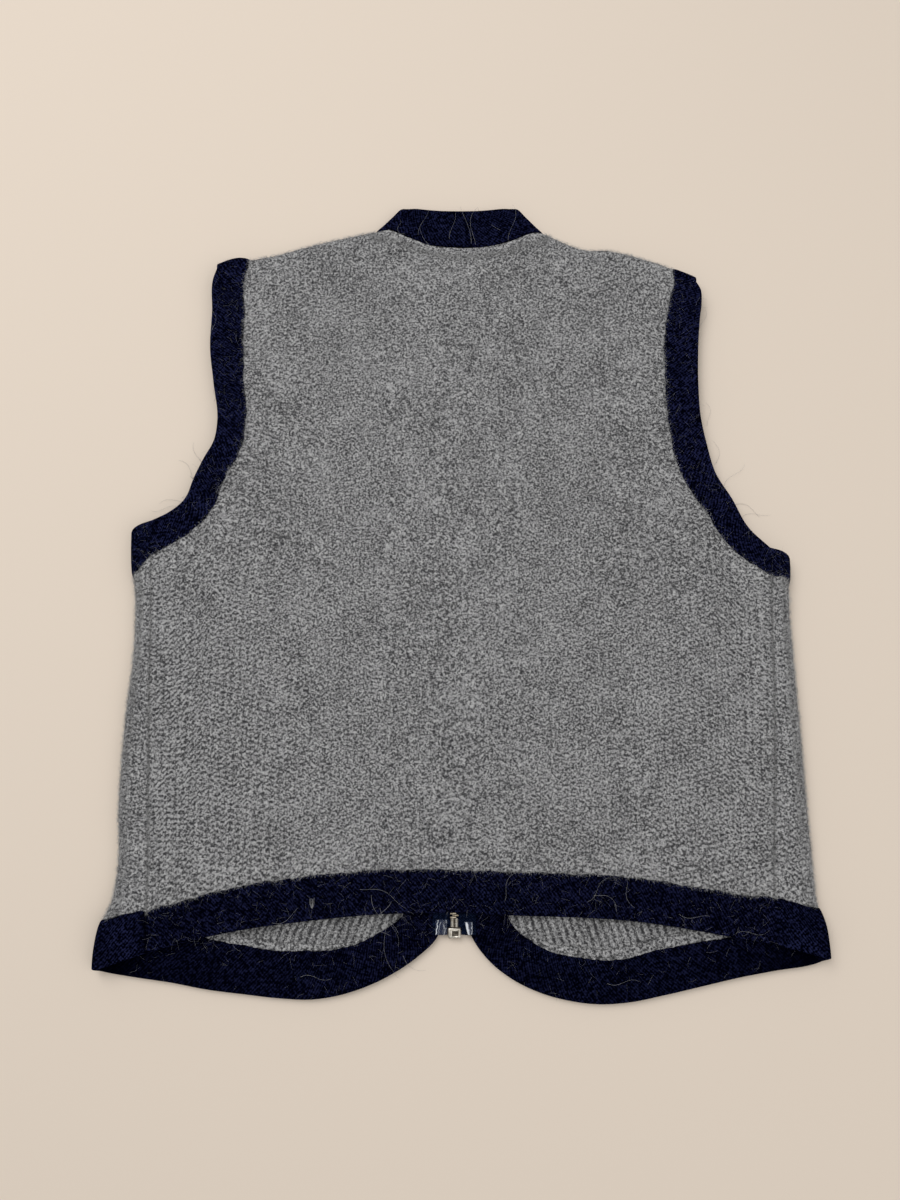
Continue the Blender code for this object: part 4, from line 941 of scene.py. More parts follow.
def filmMaterial(side):
    material, tree, shader, place = newMaterial("clearFilm." + side, 0.12)
    y, away, _ = weaveSockets(tree)
    lines = noise(tree, place, 420.0, 2.0, 0.5, 0.5)
    bent = plus(tree, away, mapped(tree, lines, 0.3, 0.7, -0.5, 0.5))
    glint = 0.0
    for y0, away0, y1, away1, width, strength in filmStreaks[side]:
        off = calc(tree, "ABSOLUTE", calc(tree, "SUBTRACT", bent, mapped(tree, y, y1, y0, away1, away0)))
        streak = mapped(tree, off, 0.3 * width, width, strength, 0.0)
        for edge, step in ((y0, 0.5), (y1, -0.5)):
            streak = times(tree, streak, mapped(tree, y, edge, edge + step, 1.0, 0.0))
        glint = most(tree, streak, glint)
    mixed(tree, glint, filmLook["clear"], filmLook["shine"], shader)
    tree.links.new(mapped(tree, glint, 0.0, 1.0, *filmLook["alpha"]), shader.inputs["Alpha"])
    shader.inputs["Coat Weight"].default_value = 0.6
    shader.inputs["Coat Roughness"].default_value = 0.1
    bumped(tree, shader, lines, 0.2, 0.0002)
    return material


def fibreMaterial(name, dark, light):
    material, tree, shader, place = newMaterial(name, 0.8, sheen=0.3, specular=0.2)
    mixed(tree, mapped(tree, noise(tree, place, 300.0), 0.35, 0.65), dark, light, shader)
    return material


wool = woolMaterial()
navy, tape = bandMaterial("navyTwill", bandLook), bandMaterial("zipTape", tapeLook)
brass = metalMaterial("agedBrass", (0.58, 0.52, 0.42), (0.25, 0.20, 0.13), 0.38)
nickel = metalMaterial("satinNickel", (0.66, 0.63, 0.57), (0.34, 0.30, 0.24), 0.3)
recess = metalMaterial("recessBrown", (0.13, 0.115, 0.095), (0.06, 0.05, 0.04), 0.5)
filmFinish = {side: filmMaterial(side) for side in signs}
napMaterial = fibreMaterial("woolNap", (0.17, 0.17, 0.175), (0.52, 0.52, 0.52))
clingMaterial = fibreMaterial("clingingWool", (0.07, 0.075, 0.09), (0.24, 0.24, 0.26))
hairMaterial = fibreMaterial("looseHairs", (0.13, 0.14, 0.17), (0.36, 0.36, 0.36))
print("materials made")


# The back and the fronts

backLook = {"grain": 0.06}
backParts, neckEdges = {}, {}
for side in signs:
    grids, neckEdges[side, "back"] = backGrids(side)
    for part, (chart, u, v) in grids.items():
        points, normals = placed(backPoint, side, chart)
        weave = weaveOf(u, v, stitchStrength(points[..., 0], points[..., 1]))
        backParts[side, part] = points, normals, weave
data, outer = clothShell(backParts.values(), wall)
places, normals, weave = vertArrays(data)
rng = np.random.default_rng(11)
rise = rng.normal(0.0, backLook["grain"], len(weave))
rise[outer:] = 0.0
shiftVerts(data, places + normals * rise[:, None], weave)
back = finishMesh("backPanel", data, [wool])
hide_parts("back")
print("back:", len(back.data.polygons), "faces")

# The ribs inside the fronts lean away from the zip, and stop before the side fold
frontLook = {
    "rib": 0.42, "second": -0.35, "leanAtZip": 22.0, "leanAtSide": 12.0, "stop": 6.0, "stitches": 0.8,
}
fronts, frontFolds = {}, {}
for side in signs:
    grids, neckEdges[side, "front"] = frontGrids(side)
    parts = {}
    for part, chart in grids.items():
        points, normals = placed(frontPoint, side, chart)
        parts[part] = points, normals, weaveOf(chart[..., 0], chart[..., 1], frontLook["stitches"])
    frontFolds[side] = parts["fold"]
    data, outer = clothShell(parts.values(), wall)
    places, normals, weave = vertArrays(data)
    across = weave[:, 0].copy()
    lean = np.interp(across, (0.0, flat), (frontLook["leanAtZip"], frontLook["leanAtSide"]))
    ribPlace = across + weave[:, 1] * np.tan(np.radians(lean))
    ribTurn = 2 * np.pi * ribPlace / woolLook["rib"]
    rise = frontLook["rib"] * (np.cos(ribTurn) + frontLook["second"] * np.cos(2 * ribTurn))
    rise = np.where(across < flat - frontLook["stop"], rise, 0.0)
    rise[:outer] = 0.0
    weave[outer:, 0] = ribPlace[outer:]
    weave[outer:, 2] = -1.0
    shiftVerts(data, places + normals * rise[:, None], weave)
    front = finishMesh("frontPanel." + side, data, [wool])
    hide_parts("front_" + side)
    fronts[side] = front
    print("front", side, len(front.data.polygons), "faces")


# Bindings: a strip folded over the cut edge, thinner at its turned-in inner edge

bandShape = {
    "shares": (0.0, 0.07, 0.18, 0.31, 0.44, 0.57, 0.69, 0.79, 0.87, 0.93, 0.97, 1.0),
    "noseTurns": (22, 45, 68, 90, 112, 135, 158),       # degrees
    "edgeTaper": 3.2,                                    # mm
    "edgeWall": 0.3,
    "crown": 0.16,
    "ripple": 0.36,                                      # of the inner edge
    "rippleWidth": 27.0,
    "notch": (2.0, 2.2),                                 # where ends meet: how deep and how wide
    "dip": (0.55, 1.8),
    "line": (0.8, 1.0),                                  # and how dark
    "rim": (0.55, 16.0, 1.6),                            # painted highlight: how much paler the fold's edge is painted, and where
    "overShoulder": 12.0,
    "armholeShade": 1.38,
}
bandShares = np.array(bandShape["shares"])
# How dark the hem's lower layer is under the back, by its place on the chart
underShade = (("chart", "share"),
              (0, 0.84), (150, 0.8), (190, 0.62), (215, 0.42), (243, 0.38), (249, 0.9), (290, 1.0))


def bell(off, width):
    return np.exp(-(off / width) ** 2)


def bandPiece(name, points, normals, lengths, seed, shade, joint=None):
    b = bandShape
    edge = points[:, 0]
    out = unit(edge - points[:, 1])
    width = np.linalg.norm(points[:, -1] - edge, axis=-1)[:, None]
    taper = np.clip((1.0 - bandShares)[None] * width / b["edgeTaper"], 0.0, 1.0)
    taper = np.sin(taper * np.pi / 2)
    thick = b["edgeWall"] + (garment["bandWall"] - b["edgeWall"]) * taper
    swell = 1 + 0.7 * wave(lengths, 0.6, seed + 1)[:, None]
    puff = np.maximum(b["crown"] * np.sin(np.pi * bandShares)[None] * swell, 0.0) * taper
    if joint is not None:
        thick = thick - b["dip"][0] * bell(lengths - joint, b["dip"][1])[:, None] * taper
    facing = normals[..., 2]
    top = points + normals * (inside + thick + puff * np.clip(facing * 3.0, 0.0, 1.0))[..., None]
    low = points - normals * (inside + thick + puff * np.clip(-facing * 3.0, 0.0, 1.0))[..., None]
    inner = [0, 3, 7, 11]
    innerTop = points[:, inner] + normals[:, inner] * inside
    innerLow = points[:, inner[::-1]] - normals[:, inner[::-1]] * inside
    innerTop[:, 0] += out * gap
    innerLow[:, -1] += out * gap
    fold = foldOver(edge, out, normals[:, 0], nose, bound, b["noseTurns"])
    rings = np.concatenate((innerTop, top[:, ::-1], fold, low, innerLow), axis=1)
    # Painted highlight: the colour is made paler along the fold's edge
    foldHighlight, middle, wide = b["rim"]
    rim = 1.0 + foldHighlight * bell(np.arange(rings.shape[1]) - middle, wide)
    strength = rim[None] * np.broadcast_to(shade, len(rings))[:, None]
    if joint is not None:
        strength = strength * (1.0 - b["line"][0] * bell(lengths - joint, b["line"][1]))[:, None]
    return bandSolid(name, rings, lengths, strength)


# Pushes the inner edge of a strip's rows in and out
def ripple(strip, lengths, seed, size=1.0, joint=None):
    edge, width = strip[:, :1], bandShape["rippleWidth"]
    change = wave(lengths, bandShape["ripple"] * size, seed) / width
    if joint is not None:
        deep, wide = bandShape["notch"]
        change = change - deep / width * bell(lengths - joint, wide)
    return edge + (strip - edge) * (1.0 + change[:, None, None] * bandShares[None, :, None] ** 6)


def armholeBinding(side, seed):
    backStrip, backLengths, _, _ = backStrips(side, bandShares)
    frontStrip, frontLengths, _, _ = frontStrips(side, bandShares)
    backStrip = np.concatenate((backStrip, rolled(side, backStrip[-1])[1:]))
    turnLengths = backLengths[-1] + np.linspace(0, bandShape["overShoulder"], backMesh["turns"] + 1)[1:]
    lengths = np.concatenate((-np.concatenate((backLengths, turnLengths))[::-1], frontLengths))
    backRows = placed(backPoint, side, ripple(backStrip[::-1], lengths[:len(backStrip)], seed))
    frontRows = placed(frontPoint, side, ripple(frontStrip, frontLengths, seed))
    rows = [np.concatenate(pair) for pair in zip(backRows, frontRows)]
    piece = bandPiece("armholeBinding." + side, *rows, lengths, seed, bandShape["armholeShade"])
    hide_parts("armhole_binding_" + side)
    return piece, rows


def hemBindings():
    rows, lengths, shades = {}, {}, {}
    for side in signs:
        _, _, strip, along = frontStrips(side, bandShares)
        shades[side] = column(underShade, "share", strip[:, 0, 0])
        lengths[side, "edge"] = along
        rows[side, "edge"] = placed(frontPoint, side, ripple(strip, along, 31, 0.5, along[-1]))
        _, _, strip, along = backStrips(side, bandShares)
        lengths[side, "hem"] = along
        strip = ripple(strip, along * signs[side], 47, 1.0, -along[-1])
        rows[side, "hem"] = placed(backPoint, side, strip)
    along = lengths["left", "edge"]
    left = bandPiece("hemBinding.left", *rows["left", "edge"], along, 5, shades["left"], along[-1])
    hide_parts("hem_binding_left")
    onFront, onRight, onLeft = lengths["right", "edge"], lengths["right", "hem"], lengths["left", "hem"]
    middle = onFront[-1] + onRight[-1]
    along = np.concatenate((onFront, middle - onRight[::-1], middle + onLeft[1:]))
    whole = [np.concatenate((edge, right[::-1], left[1:])) for edge, right, left
             in zip(rows["right", "edge"], rows["right", "hem"], rows["left", "hem"])]
    shade = np.concatenate((shades["right"], np.ones(len(along) - len(onFront))))
    right = bandPiece("hemBinding.right", *whole, along, 9, shade, along[-1])
    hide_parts("hem_binding_right")
    return left, right, rows


armholeLeft, armLeftRows = armholeBinding("left", 17)
armholeRight, armRightRows = armholeBinding("right", 23)
hemLeft, hemRight, hemRows = hemBindings()
for piece in (armholeLeft, armholeRight, hemLeft, hemRight):
    print(piece.name, len(piece.data.polygons), "faces")


# Collar: a doubled stand band, folded flat at both neck points

collarShape = {
    "wall": 2.4, "seat": 1.0, "topBack": 301.0, "half": 48.0, "turn": 3.1,
    "sink": -1.2, "settle": 34.0, "arch": 2.7, "foldDrop": 4.0, "across": 16,
    "roundFrom": 0.66, "roundDrop": 3.6,                 # the top corners, by share of the half width
    "edge": ((41.0, 280.0), (35.0, 256.0), (27.0, 239.0)),     # the front half's edge
    "byZip": ((12.2, 226.0), (3.2, 219.0)),              # and its end, from the zip
    "foot": 0.2, "ragged": 0.3, "footTaper": 3.0, "noseTurns": (30, 60, 90, 120, 150), "shade": 1.25,
}


def collarHalf(side):
    s, sign, steps = collarShape, signs[side], backMesh["fold"]
    backRow = placed(backPoint, side, neckEdges[side, "back"])[0]
    frontRow = placed(frontPoint, side, neckEdges[side, "front"][::-1])[0]
    low, settled, foldX = s["wall"] / 2, garment["rest"] - s["sink"], s["half"] - s["turn"]
    x = np.abs(backRow[:-steps - 1, 0]) / garment["neckHalf"] * s["half"]
    lift = falloff(foldX - x, 0.0, s["settle"])
    corner = np.maximum(x / s["half"] - s["roundFrom"], 0.0) / (1.0 - s["roundFrom"])
    top = s["topBack"] + s["arch"] * (x / s["half"]) ** 2 - s["roundDrop"] * corner ** 2
    tops = [np.stack((sign * x, top, settled + (low + 2 * s["turn"] - settled) * lift), axis=-1)]
    share = np.linspace(0, 1, steps + 1)
    angle = np.pi * share
    tops.append(np.stack((sign * (foldX + s["turn"] * np.sin(angle)), top[-1] - s["foldDrop"] * share,
                          low + s["turn"] * (1 + np.cos(angle))), axis=-1))
    byZip = [(x + sign * zipX, y) for x, y in s["byZip"]]
    path = smoothPath([(foldX - 1.0, top[-1] - s["foldDrop"]), *s["edge"], *byZip])
    run = lengthsAlong(frontRow)
    chart = atLength(path, path[1][-1] * (run[1:] / run[-1]))
    tops.append(np.column_stack((sign * chart[:, 0], chart[:, 1], np.full(len(chart), low))))
    tips = np.concatenate(tops)
    bases = np.concatenate((backRow, frontRow[1:]))
    return bases + unit(tips - bases) * s["seat"], tips


def makeCollar():
    s = collarShape
    (leftBase, leftTip), (rightBase, rightTip) = collarHalf("left"), collarHalf("right")
    base = np.concatenate((leftBase[::-1], rightBase[1:]))
    tip = np.concatenate((leftTip[::-1], rightTip[1:]))
    out = unit(tip - base)
    shares = np.linspace(0, 1, s["across"])
    half, lengths = s["wall"] / 2, lengthsAlong(base + tip) / 2
    ragged = wave(lengths, s["ragged"], 71)[:, None] * out
    foot, head = base + ragged + out * s["foot"], tip - out * half
    grid = foot[:, None] + (head - foot)[:, None] * shares[None, :, None]
    normals = unit(np.cross(np.gradient(grid, axis=0), np.gradient(grid, axis=1)))
    rise = shares * np.linalg.norm(head - foot, axis=-1)[:, None] / s["footTaper"] + 0.2
    depth = (half * np.sin(np.clip(rise, 0, 1) * np.pi / 2))[..., None]
    fold = foldOver(head, out, normals[:, -1], half, half, s["noseTurns"])
    rings = np.concatenate((grid + normals * depth, fold, (grid - normals * depth)[:, ::-1]), axis=1)
    piece = bandSolid("collarBand", rings, lengths, s["shade"])
    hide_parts("collar")
    return piece


collar = makeCollar()
print("collar:", len(collar.data.polygons), "faces")


# The zip

zipShape = {
    "chainHalf": 2.95, "chainThick": 2.4, "chainLow": 3.2, "chainHigh": 5.0, "ramp": (150.0, 196.0),
    "chainEnds": (-243.5, 210.2), "endRoom": 0.4, "pitch": 1.25, "tooth": (4.3, 1.2), "toothOut": 0.8,
    "clamp": (0.8, 0.7),                                 # the tooth's narrower end by the tape
    "tapeHalf": 15.0, "tapeThick": 0.8, "tapeEnds": (-254.5, 219.0), "tapeInner": 1.5,
    "tapeFine": (-235.0, 26, 150),                       # finer rows below this place
    "seated": 7.5, "box": (8.8, 7.0, 4.0), "boxTop": -250.0, "boxRoom": (0.45, 0.1),
    "hollow": {"rim": 1.25, "width": 0.85, "shift": (0.55, -0.4, 0.0), "lip": 0.35, "depth": -0.8},
    "filmEdges": {"left": (4.9, 13.0, 0.0), "right": (7.0, 12.6, 2.4)}, "filmThick": 0.25,
    "filmEnds": {"left": (-254.3, -244.3), "right": (-254.3, -245.7)}, "filmCurl": (0.3, 0.12),
}
tapeLevel = 2 * bound + gap + zipShape["tapeThick"] / 2
beside = np.linspace(0, 1, 13)             # columns of a sheet beside the zip


def chainHeight(y):
    share = 1.0 - falloff(y, *zipShape["ramp"])
    return zipShape["chainLow"] + (zipShape["chainHigh"] - zipShape["chainLow"]) * share


def tapeHeight(away, y):
    share = np.clip((zipShape["seated"] - away) / (zipShape["seated"] - zipShape["chainHalf"]), 0.0, 1.0)
    return tapeLevel + (chainHeight(y) - tapeLevel) * share


def upright(points):
    normals = unit(np.cross(np.gradient(points, axis=1), np.gradient(points, axis=0)))
    return normals * np.sign(normals[..., 2:])


# A thin sheet beside the zip, from each row's start out to the end. Its lift is above the tape's middle.
def besideZip(name, side, ys, starts, end, lift, thickness, material):
    away = starts[:, None] + (end - starts)[:, None] * beside
    y = ys[:, None] + 0.0 * away
    points = np.stack((zipX + signs[side] * away, y, tapeHeight(away, y) + lift), axis=-1)
    data, _ = clothShell([(points, upright(points), weaveOf(y, away, 1.0))], thickness)
    return finishMesh(name + side, data, [material])


def zipTape(side):
    z = zipShape
    place, low, high = z["tapeFine"]
    ys = spread((z["tapeEnds"][0], place, z["tapeEnds"][1]), (low - 1, high - 1))
    room, air = z["boxRoom"]
    starts = np.where(ys < z["boxTop"] + room, z["box"][0] / 2 + gap + air, z["tapeInner"])
    piece = besideZip("zipTape.", side, ys, starts, z["tapeHalf"], 0.0, z["tapeThick"], tape)
    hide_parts("zip_tape_" + side)
    return piece


# One tooth: a clamp on the tape's edge and a rounded head that reaches past the middle
def zipTeeth():
    z = zipShape
    tooth = bmesh.new()
    bmesh.ops.create_cube(tooth, size=1.0)
    bmesh.ops.scale(tooth, vec=(*z["tooth"], z["chainThick"]), verts=tooth.verts)
    crosswise = [edge for edge in tooth.edges if abs(edge.verts[0].co.x - edge.verts[1].co.x) > 1]
    bmesh.ops.subdivide_edges(tooth, edges=crosswise, cuts=1)
    clamp = [vert for vert in tooth.verts if vert.co.x < -1.0]
    bmesh.ops.scale(tooth, vec=(1.0, *z["clamp"]), verts=clamp)
    bevelled(tooth, 0.16, 1)
    bmesh.ops.recalc_face_normals(tooth, faces=tooth.faces)
    verts = np.array([vert.co for vert in tooth.verts])
    faces = [[vert.index for vert in face.verts] for face in tooth.faces]
    tooth.free()
    places = np.arange(z["chainEnds"][0] + z["endRoom"], z["chainEnds"][1] - z["endRoom"], z["pitch"])
    allVerts, allFaces = [], []
    for k, y in enumerate(places):
        sign = 1.0 if k % 2 else -1.0
        allVerts.append(verts * (sign, 1.0, 1.0) + (zipX + sign * z["toothOut"], y, chainHeight(y)))
        allFaces += [[k * len(verts) + i for i in (face if sign > 0 else face[::-1])] for face in faces]
    piece = listedMesh("zipTeeth", np.concatenate(allVerts), allFaces, brass)
    piece.data.set_sharp_from_angle(angle=math.radians(35))
    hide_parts("zip_chain")
    return piece


def zipBox():
    z, hollow = zipShape, zipShape["hollow"]
    data = bmesh.new()
    bmesh.ops.create_cube(data, size=1.0)
    bmesh.ops.scale(data, vec=z["box"], verts=data.verts)
    bevelled(data, 0.75, 3)
    upper = max(data.faces, key=lambda face: face.calc_center_median().z)
    bmesh.ops.inset_region(data, faces=[upper], thickness=hollow["rim"])
    bmesh.ops.scale(data, vec=(hollow["width"], 1.0, 1.0), verts=upper.verts[:])
    bmesh.ops.translate(data, vec=hollow["shift"], verts=upper.verts[:])
    bmesh.ops.inset_region(data, faces=[upper], thickness=hollow["lip"], depth=hollow["depth"])
    upper.material_index = 1
    centre = (zipX, z["boxTop"] - z["box"][1] / 2, float(chainHeight(z["boxTop"])))
    bmesh.ops.translate(data, vec=centre, verts=data.verts)
    piece = finishMesh("zipBottomBox", data, [nickel, recess])
    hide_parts("zip_box")
    return piece


def zipFilm(side):
    z = zipShape
    ys = np.linspace(*z["filmEnds"][side], 15)
    first, last, slant = z["filmEdges"][side]
    starts = first + slant * np.linspace(1.0, 0.0, len(ys))
    across, along = z["filmCurl"]
    curl = across * np.sin(beside * np.pi) + along * np.sin(ys[:, None] * 0.9)
    lift = z["tapeThick"] / 2 + gap + z["filmThick"] / 2 + curl
    piece = besideZip("zipFilm.", side, ys, starts, last, lift, z["filmThick"], filmFinish[side])
    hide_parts("zip_film_" + side)
    return piece


tapes = {side: zipTape(side) for side in signs}
for side in signs:
    zipFilm(side)
zipTeeth()
zipBox()
for name in ("pin_left", "pin_right", "stop_left", "stop_right", "slider", "bridge", "pull"):
    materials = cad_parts["zip_" + name].data.materials
    materials.clear()
    materials.append(brass if name.startswith("stop") else nickel)
print("zip made")


# Strands: thin three-sided fibres from arrays of their centre points
def strands(name, centres, widths, ups, material):
    count, points = centres.shape[:2]
    along = unit(np.gradient(centres, axis=1))
    sideways = unit(np.cross(along, ups[:, None]))
    upwards = np.cross(sideways, along)
    angles = np.radians((90, 210, 330))
    taper = np.linspace(1.0, 0.55, points - 1)[None, :, None, None]
    centres[..., 2] = np.maximum(centres[..., 2], 0.15)
    rings = centres[:, :-1, None] + (widths / 2)[:, None, None, None] * taper * (
        sideways[:, :-1, None] * np.cos(angles)[None, None, :, None]
        + upwards[:, :-1, None] * np.sin(angles)[None, None, :, None])
    verts = np.concatenate((rings.reshape(count, -1, 3), centres[:, -1:]), axis=1)
    size, last = verts.shape[1], 3 * (points - 2)
    turns = ((0, 1), (1, 2), (2, 0))
    one = [(0, 1, 2)]
    for k in range(0, last, 3):
        one += [(k + i, k + 3 + i, k + 3 + j) for i, j in turns]
        one += [(k + i, k + 3 + j, k + j) for i, j in turns]
    one += [(last + i, size - 1, last + j) for i, j in turns]
    faces = (np.array(one)[None] + (np.arange(count) * size)[:, None, None]).reshape(-1, 3)
    piece = listedMesh(name, verts.reshape(-1, 3), faces.tolist(), material)
    print(name, count, "strands,", len(piece.data.polygons), "faces")


napLook = {
    "length": (2.2, 5.0), "width": 0.2, "lift": (0.10, 0.55), "curl": (-0.7, 0.7),
    "roll": slice(0, 5), "fold": slice(2, 11),           # rows and columns that are seen from above
}


def napRoots(side, part, count, rng):
    points, normals, _ = frontFolds[side] if part == "fold" else backParts[side, part]
    if part == "roll":
        points, normals = points[napLook["roll"]], normals[napLook["roll"]]
    if part == "fold":
        points, normals = points[:, napLook["fold"]], normals[:, napLook["fold"]]
    rows = rng.integers(0, points.shape[0] - 1, count)
    columns = rng.integers(0, points.shape[1] - 1, count)
    s, t = rng.random((2, count, 1))
    roots, ups = ((1 - s) * (1 - t) * a[rows, columns] + s * (1 - t) * a[rows + 1, columns]
                  + (1 - s) * t * a[rows, columns + 1] + s * t * a[rows + 1, columns + 1]
                  for a in (points, normals))
    ups = unit(ups)
    return roots + ups * (wall / 2 - 0.1), ups


def napPaths(roots, ups, headings, lengths, lifts, curls, steps=2):
    tangent = unit(headings - ups * (headings * ups).sum(axis=-1, keepdims=True))
    across = np.cross(ups, tangent)
    s = np.linspace(0, 1, steps + 1)[None, :, None]
    lengths, lifts, curls = (a[:, None, None] for a in (lengths, lifts, curls))
    return (roots[:, None] + tangent[:, None] * lengths * s
            + ups[:, None] * lengths * lifts * np.sin(np.pi * 0.62 * s)
            + across[:, None] * lengths * curls * s ** 2)


def nap(name, seed, **counts):
    rng = np.random.default_rng(seed)
    chosen = [napRoots(side, part, count, rng) for part, count in counts.items() for side in signs]
    roots, ups = (np.concatenate(arrays) for arrays in zip(*chosen))
    count = len(roots)
    angle = rng.uniform(0, 2 * np.pi, count)
    headings = np.stack((np.cos(angle), np.sin(angle), rng.uniform(-0.6, 0.6, count)), axis=-1)
    centres = napPaths(roots, ups, headings, rng.uniform(*napLook["length"], count),
                       rng.uniform(*napLook["lift"], count), rng.uniform(*napLook["curl"], count))
    strands(name, centres, napLook["width"] * rng.uniform(0.7, 1.2, count), ups, napMaterial)


# How many fibres stand on each side's part
nap("nap.low", 101, low=6800)
nap("nap.high", 103, high=5200)
nap("nap.edges", 105, roll=1100, fold=3600)
print("nap made")


# Where cloth meets the bindings: wool over the band's edge, and long curly hairs on the bands

def treeOf(pieces):
    verts, faces = [], []
    for piece in pieces:
        base = len(verts)
        verts += [vert.co.copy() for vert in piece.data.vertices]
        faces += [[base + i for i in face.vertices] for face in piece.data.polygons]
    return BVHTree.FromPolygons(verts, faces)


bands = (armholeLeft, armholeRight, hemLeft, hemRight, collar)
dressed = treeOf([back, *fronts.values(), *bands])


# How high the vest's upper face is at each place
def topHeights(xs, ys):
    heights = np.zeros(np.shape(xs))
    for spot in np.ndindex(heights.shape):
        place = (np.array((xs[spot], ys[spot], 60.0)) + garment["centring"]) * 0.001
        hit = dressed.ray_cast(Vector(place), Vector((0, 0, -1)))[0]
        heights[spot] = hit.z * 1000 if hit else 0.0
    return heights


def fringe(name, rows, counts, seed):
    rng = np.random.default_rng(seed)
    allRoots, allUps, allHeadings = [], [], []
    for (points, normals), count in zip(rows, counts):
        i = rng.integers(0, len(points) - 1, count)
        edge, inner = points[i, -1], points[i, -3]
        towards = unit(inner - edge)
        roots = edge - towards * rng.uniform(-0.4, 1.6, (count, 1)) + normals[i, -1] * (wall / 2 - 0.1)
        allRoots.append(roots + (points[i + 1, -1] - edge) * rng.random((count, 1)))
        allUps.append(normals[i, -1])
        allHeadings.append(towards + rng.normal(0, 0.7, (count, 3)))
    roots, ups, headings = (np.concatenate(a) for a in (allRoots, allUps, allHeadings))
    count = len(roots)
    centres = napPaths(roots, ups, headings, rng.uniform(1.0, 2.6, count), rng.uniform(0.5, 0.95, count),
                       rng.uniform(-0.6, 0.6, count), steps=3)
    strands(name, centres, napLook["width"] * rng.uniform(0.7, 1.2, count), ups, napMaterial)


bandRows = [armLeftRows, armRightRows, *(hemRows[side, "hem"] for side in signs)]
fringe("edgeWool", bandRows, (800, 800, 700, 700), 107)
fringe("seamWool", [backParts[side, "low"][:2] for side in signs], (900, 900), 109)


# Short stray fibres that cling to the bindings; a level of -1 is the side that faces up inside the hem
def clinging(name, rows, counts, seed):
    rng = np.random.default_rng(seed)
    allRoots, allUps = [], []
    levels = (1, 1, 1, 1, -1, -1)
    for (points, normals), level, count in zip(rows, levels, counts):
        i = rng.integers(0, len(points) - 1, count)
        j = rng.integers(0, points.shape[1] - 1, count)
        share = rng.random((count, 1))
        between = points[i, j] * share + points[i + 1, j + 1] * (1 - share)
        allUps.append(normals[i, j] * level)
        allRoots.append(between + allUps[-1] * (bound - 0.05))
    roots, ups = np.concatenate(allRoots), np.concatenate(allUps)
    count = len(roots)
    angle = rng.uniform(0, 2 * np.pi, count)
    headings = np.stack((np.cos(angle), np.sin(angle), 0.0 * angle), axis=-1)
    centres = napPaths(roots, ups, headings, rng.uniform(3.0, 9.0, count), rng.uniform(0.04, 0.2, count),
                       rng.uniform(-0.6, 0.6, count), steps=5)
    strands(name, centres, rng.uniform(0.07, 0.12, count), ups, clingMaterial)


bandRows += [hemRows[side, "edge"] for side in signs]
clinging("clingingWool", bandRows, (260, 260, 200, 200, 220, 220), 113)

# Long loose hairs: start on the cloth, heading in degrees, length, curl and how often it turns
hairs = (
    (-33, 279, 85, 18, 0.25, 1.1), (-44, 280, 120, 12, 0.6, 1.6), (-24, 271, 125, 13, 0.2, 1.0),
    (9.5, 272, 95, 25, 0.15, 1.0), (13, 271, 75, 27, 0.3, 1.2), (26, 288, -30, 6, 0.1, 1.0),
    (39, 274, 98, 24, 0.3, 1.2), (-8, 276, 88, 17, 0.2, 1.3),
    (-62, -228, -60, 24, 0.25, 1.6), (-56, -236, -80, 22, 0.3, 1.2), (-70, -224, -20, 26, 0.22, 1.8),
    (-48, -232, -110, 20, 0.3, 1.4), (-52, -246, -75, 30, 0.2, 1.6), (-66, -240, -50, 18, 0.3, 1.2),
    (88, -232, 30, 20, 0.35, 1.6), (92, -228, -40, 18, 0.4, 1.4), (150, -240, -20, 16, 0.3, 1.2),
    (-130, -246, 20, 16, 0.3, 1.3), (-165, -252, -30, 14, 0.3, 1.3), (30, -232, 60, 16, 0.3, 1.5),
    (120, -236, 110, 15, 0.3, 1.4), (190, -252, 10, 16, 0.25, 1.6),
    (-200, 72, 140, 20, 0.3, 1.5), (-206, 60, 200, 18, 0.3, 1.4), (-196, 86, 100, 17, 0.3, 1.2),
    (-214, 54, 170, 16, 0.35, 1.3), (202, 70, 60, 19, 0.3, 1.4), (208, 56, -20, 18, 0.3, 1.5),
    (196, 88, 90, 16, 0.3, 1.2), (214, 46, 20, 17, 0.3, 1.3), (192, 120, 100, 15, 0.3, 1.4),
    (-192, 140, 80, 15, 0.3, 1.3), (-194, 190, 95, 16, 0.28, 1.5), (190, 200, 85, 15, 0.3, 1.4),
    (-110, -282, 10, 16, 0.3, 1.4), (100, -286, -10, 17, 0.3, 1.4), (-40, -268, -30, 15, 0.3, 1.2),
)


skyward = np.array([(0.0, 0.0, 1.0)])


def looseHairs():
    rng = np.random.default_rng(211)
    steps = 26
    s = np.linspace(0, 1, steps + 1)
    centres = []
    for x, y, heading, length, curl, turns in hairs:
        bend = np.radians(heading) + curl * 1.9 * np.sin(np.pi * turns * s + rng.uniform(0, 6.28))
        stepLength = 1.4 * length / steps
        xs = x + np.concatenate(([0.0], np.cumsum(np.cos(bend[1:])))) * stepLength
        ys = y + np.concatenate(([0.0], np.cumsum(np.sin(bend[1:])))) * stepLength
        ground = topHeights(xs, ys)
        nearby = [np.clip(np.arange(steps + 1) + k, 0, steps) for k in range(-3, 4)]
        ground = np.maximum.reduce([ground[places] for places in nearby])
        lift = 0.35 + 1.0 * np.sin(np.pi * s) * rng.uniform(0.2, 1.0)
        centres.append(np.stack((xs, ys, ground + lift), axis=-1))
    centres = np.array(centres)
    strands("looseHairs", centres, rng.uniform(0.14, 0.20, len(centres)), skyward, hairMaterial)


looseHairs()

# A wisp of pale fluff caught on the back's hem binding
wisp = {
    "place": (-103.0, -236.6), "heading": 92.0, "fibres": 16, "length": (5.0, 7.6), "spread": 0.35,
    "width": 0.17,
}


